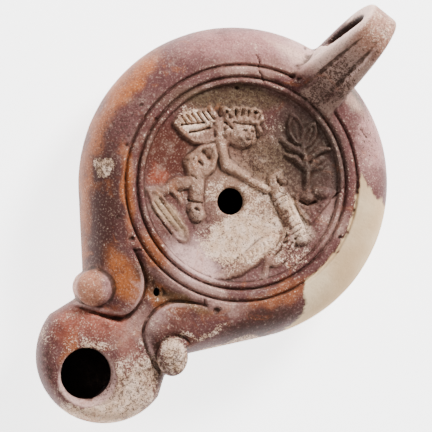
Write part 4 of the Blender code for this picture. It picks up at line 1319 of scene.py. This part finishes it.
def fired_clay_finish():
    clay = Finish("slipped_clay")
    slip = clay.attribute("slip", "Color")
    worn, speckled, repair, relief, hollow, deep, inside = (
        clay.attribute(name) for name in ("worn", "speckled", "repair", "relief", "hollow", "deep", "inside"))

    cloudy = clay.noise(85.0, 4.0, 0.6, 0.6)
    mottle = clay.noise(380.0, 4.0, 0.65)
    speck = clay.noise(1300.0, 3.0, 0.7)
    crumb = clay.noise(2400.0, 2.0, 0.6)

    # Slip of uneven thickness, lighter and darker by clouds and mottling
    tone = clay.plus(clay.times(cloudy, 0.55), clay.times(mottle, 0.45))
    light = clay.mix(clay.between(tone, 0.50, 0.70), slip, clay.mix(0.22, slip, WORN_CREAM))
    coat = clay.mix(clay.between(tone, 0.50, 0.32), light, clay.mix(0.55, slip, THICK_SLIP))
    warm = clay.between(clay.noise(140.0, 3.0, 0.6, 1.0), 0.58, 0.72)
    coat = clay.lay_on(coat, SLIP_ORANGE, warm, 0.35)

    # Pale clay where the slip has gone: broad wear, raised relief, edges, then single specks. On edges and
    # ridge tops the pale is wear and also painted highlight.
    edge = clay.between(hollow, -0.010, -0.085)
    crest_wear_and_highlight = clay.between(deep, -0.03, -0.30)
    rub = clay.larger(worn, clay.times(relief, 0.50))
    rub = clay.larger(rub, clay.times(edge, 0.45))
    rub = clay.larger(rub, clay.times(crest_wear_and_highlight, 0.12))
    threshold = clay.plus(clay.times(speck, 0.30), clay.times(mottle, 0.22))
    threshold = clay.plus(threshold, clay.times(crumb, 0.48))
    gone = clay.plus(threshold, clay.times(rub, 0.325))
    gone = clay.between(gone, 0.69, 0.77)
    pale = clay.mix(clay.between(mottle, 0.42, 0.62), BARE_CLAY, WORN_CREAM)
    coat = clay.lay_on(coat, pale, gone, 0.92)

    # Grain of the clay and its slip, darker and paler from one grain to the next
    grain = clay.plus(clay.times(clay.noise(1900.0, 2.0, 0.6), 0.6), clay.times(crumb, 0.4))
    coat = clay.lay_on(coat, DARK_GRAIN, clay.between(grain, 0.50, 0.38), 0.36)
    coat = clay.lay_on(coat, WORN_CREAM, clay.between(grain, 0.52, 0.64), 0.17)

    # Dark specks of soot and root marks
    dots = clay.plus(clay.times(crumb, 0.5), clay.times(clay.noise(1100.0, 3.0, 0.7), 0.5))
    dots = clay.plus(dots, clay.times(speckled, 0.22))
    coat = clay.lay_on(coat, SOOT_SPECK, clay.between(dots, 0.60, 0.68), 0.85)

    # Dirt and painted shade in the hollows and creases
    dirt_and_shade = clay.times(clay.between(deep, 0.07, 0.42), 0.55)
    dirt_and_shade = clay.larger(clay.between(hollow, 0.015, 0.13), dirt_and_shade)
    dirt_and_shade = clay.times(dirt_and_shade, clay.between(mottle, 0.30, 0.55))
    coat = clay.lay_on(coat, DIRT_AND_SHADE, dirt_and_shade, 0.84)

    # Plaster fill, plain and matt
    grit = clay.between(clay.noise(1700.0, 2.0, 0.6), 0.60, 0.74)
    plaster = clay.mix(clay.between(clay.noise(60.0, 3.0, 0.5), 0.35, 0.65), PLASTER, PALE_PLASTER)
    plaster = clay.lay_on(plaster, PLASTER_GRIT, grit, 0.30)
    coat = clay.mix(repair, coat, plaster)
    # Soot on the chamber's walls, and soot with painted shade in the finger hole
    coat = clay.lay_on(coat, CHAMBER_SOOT, inside, 0.96)
    clay.put(clay.shader.inputs["Base Color"], coat)

    # Satin slip, matt bare clay, dull plaster
    matt = clay.larger(gone, repair)
    rough = clay.plus(0.50, clay.times(matt, 0.34))
    rough = clay.plus(rough, clay.times(mottle, 0.12), clamp=True)
    clay.put(clay.shader.inputs["Roughness"], rough)
    clay.shader.inputs["Specular IOR Level"].default_value = 0.16

    # Fine relief of the surface itself
    fine = clay.plus(clay.times(speck, 0.5), clay.times(mottle, 0.9))
    fine = sum_node(clay.tree, "SUBTRACT", fine, clay.times(gone, 0.22))
    bump = clay.tree.nodes.new("ShaderNodeBump")
    bump.inputs["Distance"].default_value = 0.00035
    bump.inputs["Strength"].default_value = 0.55
    clay.put(bump.inputs["Height"], fine)
    clay.put(clay.shader.inputs["Normal"], bump.outputs[0])
    return clay.material


def closed_and_outward(mesh):
    """Thinning pinches the skin here and there, so that four faces share an edge. The folded flaps go,
    the pinched edges are drawn together, and the faces are turned outwards."""
    shell = bmesh.new()
    shell.from_mesh(mesh)
    for _ in range(MOST_MENDINGS):
        same = {}
        for face in shell.faces:
            same.setdefault(frozenset(face.verts), []).append(face)
        flaps = [face for faces in same.values() if len(faces) > 1 for face in faces]
        bmesh.ops.delete(shell, geom=flaps, context="FACES")
        pinched = [edge for edge in shell.edges if len(edge.link_faces) != 2]
        if not pinched:
            break
        bmesh.ops.collapse(shell, edges=pinched)
    print("clay mesh:", len(shell.faces), "faces,", len(pinched), "pinched edges in the last look")
    if shell.calc_volume(signed=True) < 0.0:
        bmesh.ops.reverse_faces(shell, faces=shell.faces)
    shell.to_mesh(mesh)
    shell.free()


def make_lamp():
    mesh = thinned(lamp_mesh(), MOST_FACES)
    closed_and_outward(mesh)
    age_the_clay(mesh)
    mesh = weathered(mesh, fired_clay_finish())
    for vertex in mesh.vertices:
        vertex.co.z = max(vertex.co.z, 0.0)
    mesh.shade_smooth()
    lamp = placed("lamp_clay_body", mesh)
    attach(lamp, "root")
    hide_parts("oil_lamp")


# Floor, light and camera

RIGHTWARD = Vector((*PHOTO_RIGHT, 0.0))
UPWARD = Vector((*PHOTO_UP, 0.0))
CAMERA_TILT = math.radians(11.0)
CAMERA_DISTANCE = 0.95
FRAME_WIDTH = 0.1145
SENSOR_WIDTH = 36.0
# From the lamp's axis at its seam to the middle of the frame, to the photograph's right and up
FRAME_SHIFT = (-16.9 / 3774.0, -32.4 / 3774.0)


def studio():
    floor_mesh = bpy.data.meshes.new("studio_floor")
    side = 3.0
    floor_mesh.from_pydata([(-side, -side, 0.0), (side, -side, 0.0), (side, side, 0.0), (-side, side, 0.0)],
                           [], [(0, 1, 2, 3)])
    paper = bpy.data.materials.new("studio_paper")
    paper.use_nodes = True
    shader = paper.node_tree.nodes["Principled BSDF"]
    shader.inputs["Base Color"].default_value = (0.92, 0.92, 0.92, 1.0)
    shader.inputs["Roughness"].default_value = 0.9
    shader.inputs["Emission Color"].default_value = (1.0, 1.0, 1.0, 1.0)
    shader.inputs["Emission Strength"].default_value = 3.4
    floor_mesh.materials.append(paper)
    placed("studio_floor", floor_mesh)

    world = bpy.data.worlds.new("studio_air")
    world.use_nodes = True
    air = world.node_tree.nodes["Background"]
    air.inputs["Color"].default_value = (1.0, 1.0, 1.0, 1.0)
    air.inputs["Strength"].default_value = 0.42
    bpy.context.scene.world = world


def soft_light(name, toward, distance, size, power):
    """A square soft light in the photograph's directions: right, up, and towards the viewer."""
    data = bpy.data.lights.new(name, "AREA")
    data.shape = "SQUARE"
    data.size = size
    data.energy = power
    light = placed(name, data)
    way = RIGHTWARD * toward[0] + UPWARD * toward[1] + Vector((0.0, 0.0, toward[2]))
    way.normalize()
    light.location = way * distance
    light.rotation_euler = way.to_track_quat("Z", "Y").to_euler()


def camera():
    """The photograph is taken from above, tilted a little towards its own left."""
    back = Vector((0.0, 0.0, math.cos(CAMERA_TILT))) - RIGHTWARD * math.sin(CAMERA_TILT)
    across = UPWARD.cross(back)
    target = Vector((0.0, 0.0, SEAM_HEIGHT * MM)) + across * FRAME_SHIFT[0] + UPWARD * FRAME_SHIFT[1]
    data = bpy.data.cameras.new("camera")
    data.sensor_width = SENSOR_WIDTH
    data.lens = SENSOR_WIDTH * CAMERA_DISTANCE / FRAME_WIDTH
    data.clip_start = 0.01
    seen = placed("camera", data)
    turn = Matrix((across, UPWARD, back)).transposed().to_4x4()
    seen.matrix_world = Matrix.Translation(target + back * CAMERA_DISTANCE) @ turn
    bpy.context.scene.camera = seen


make_lamp()
studio()
soft_light("key_from_top_right", (0.75, 1.0, 0.95), 0.9, 0.26, 19.0)
soft_light("fill_from_left", (-1.0, 0.3, 1.2), 1.0, 0.8, 2.2)
camera()

bpy.context.view_layer.update()
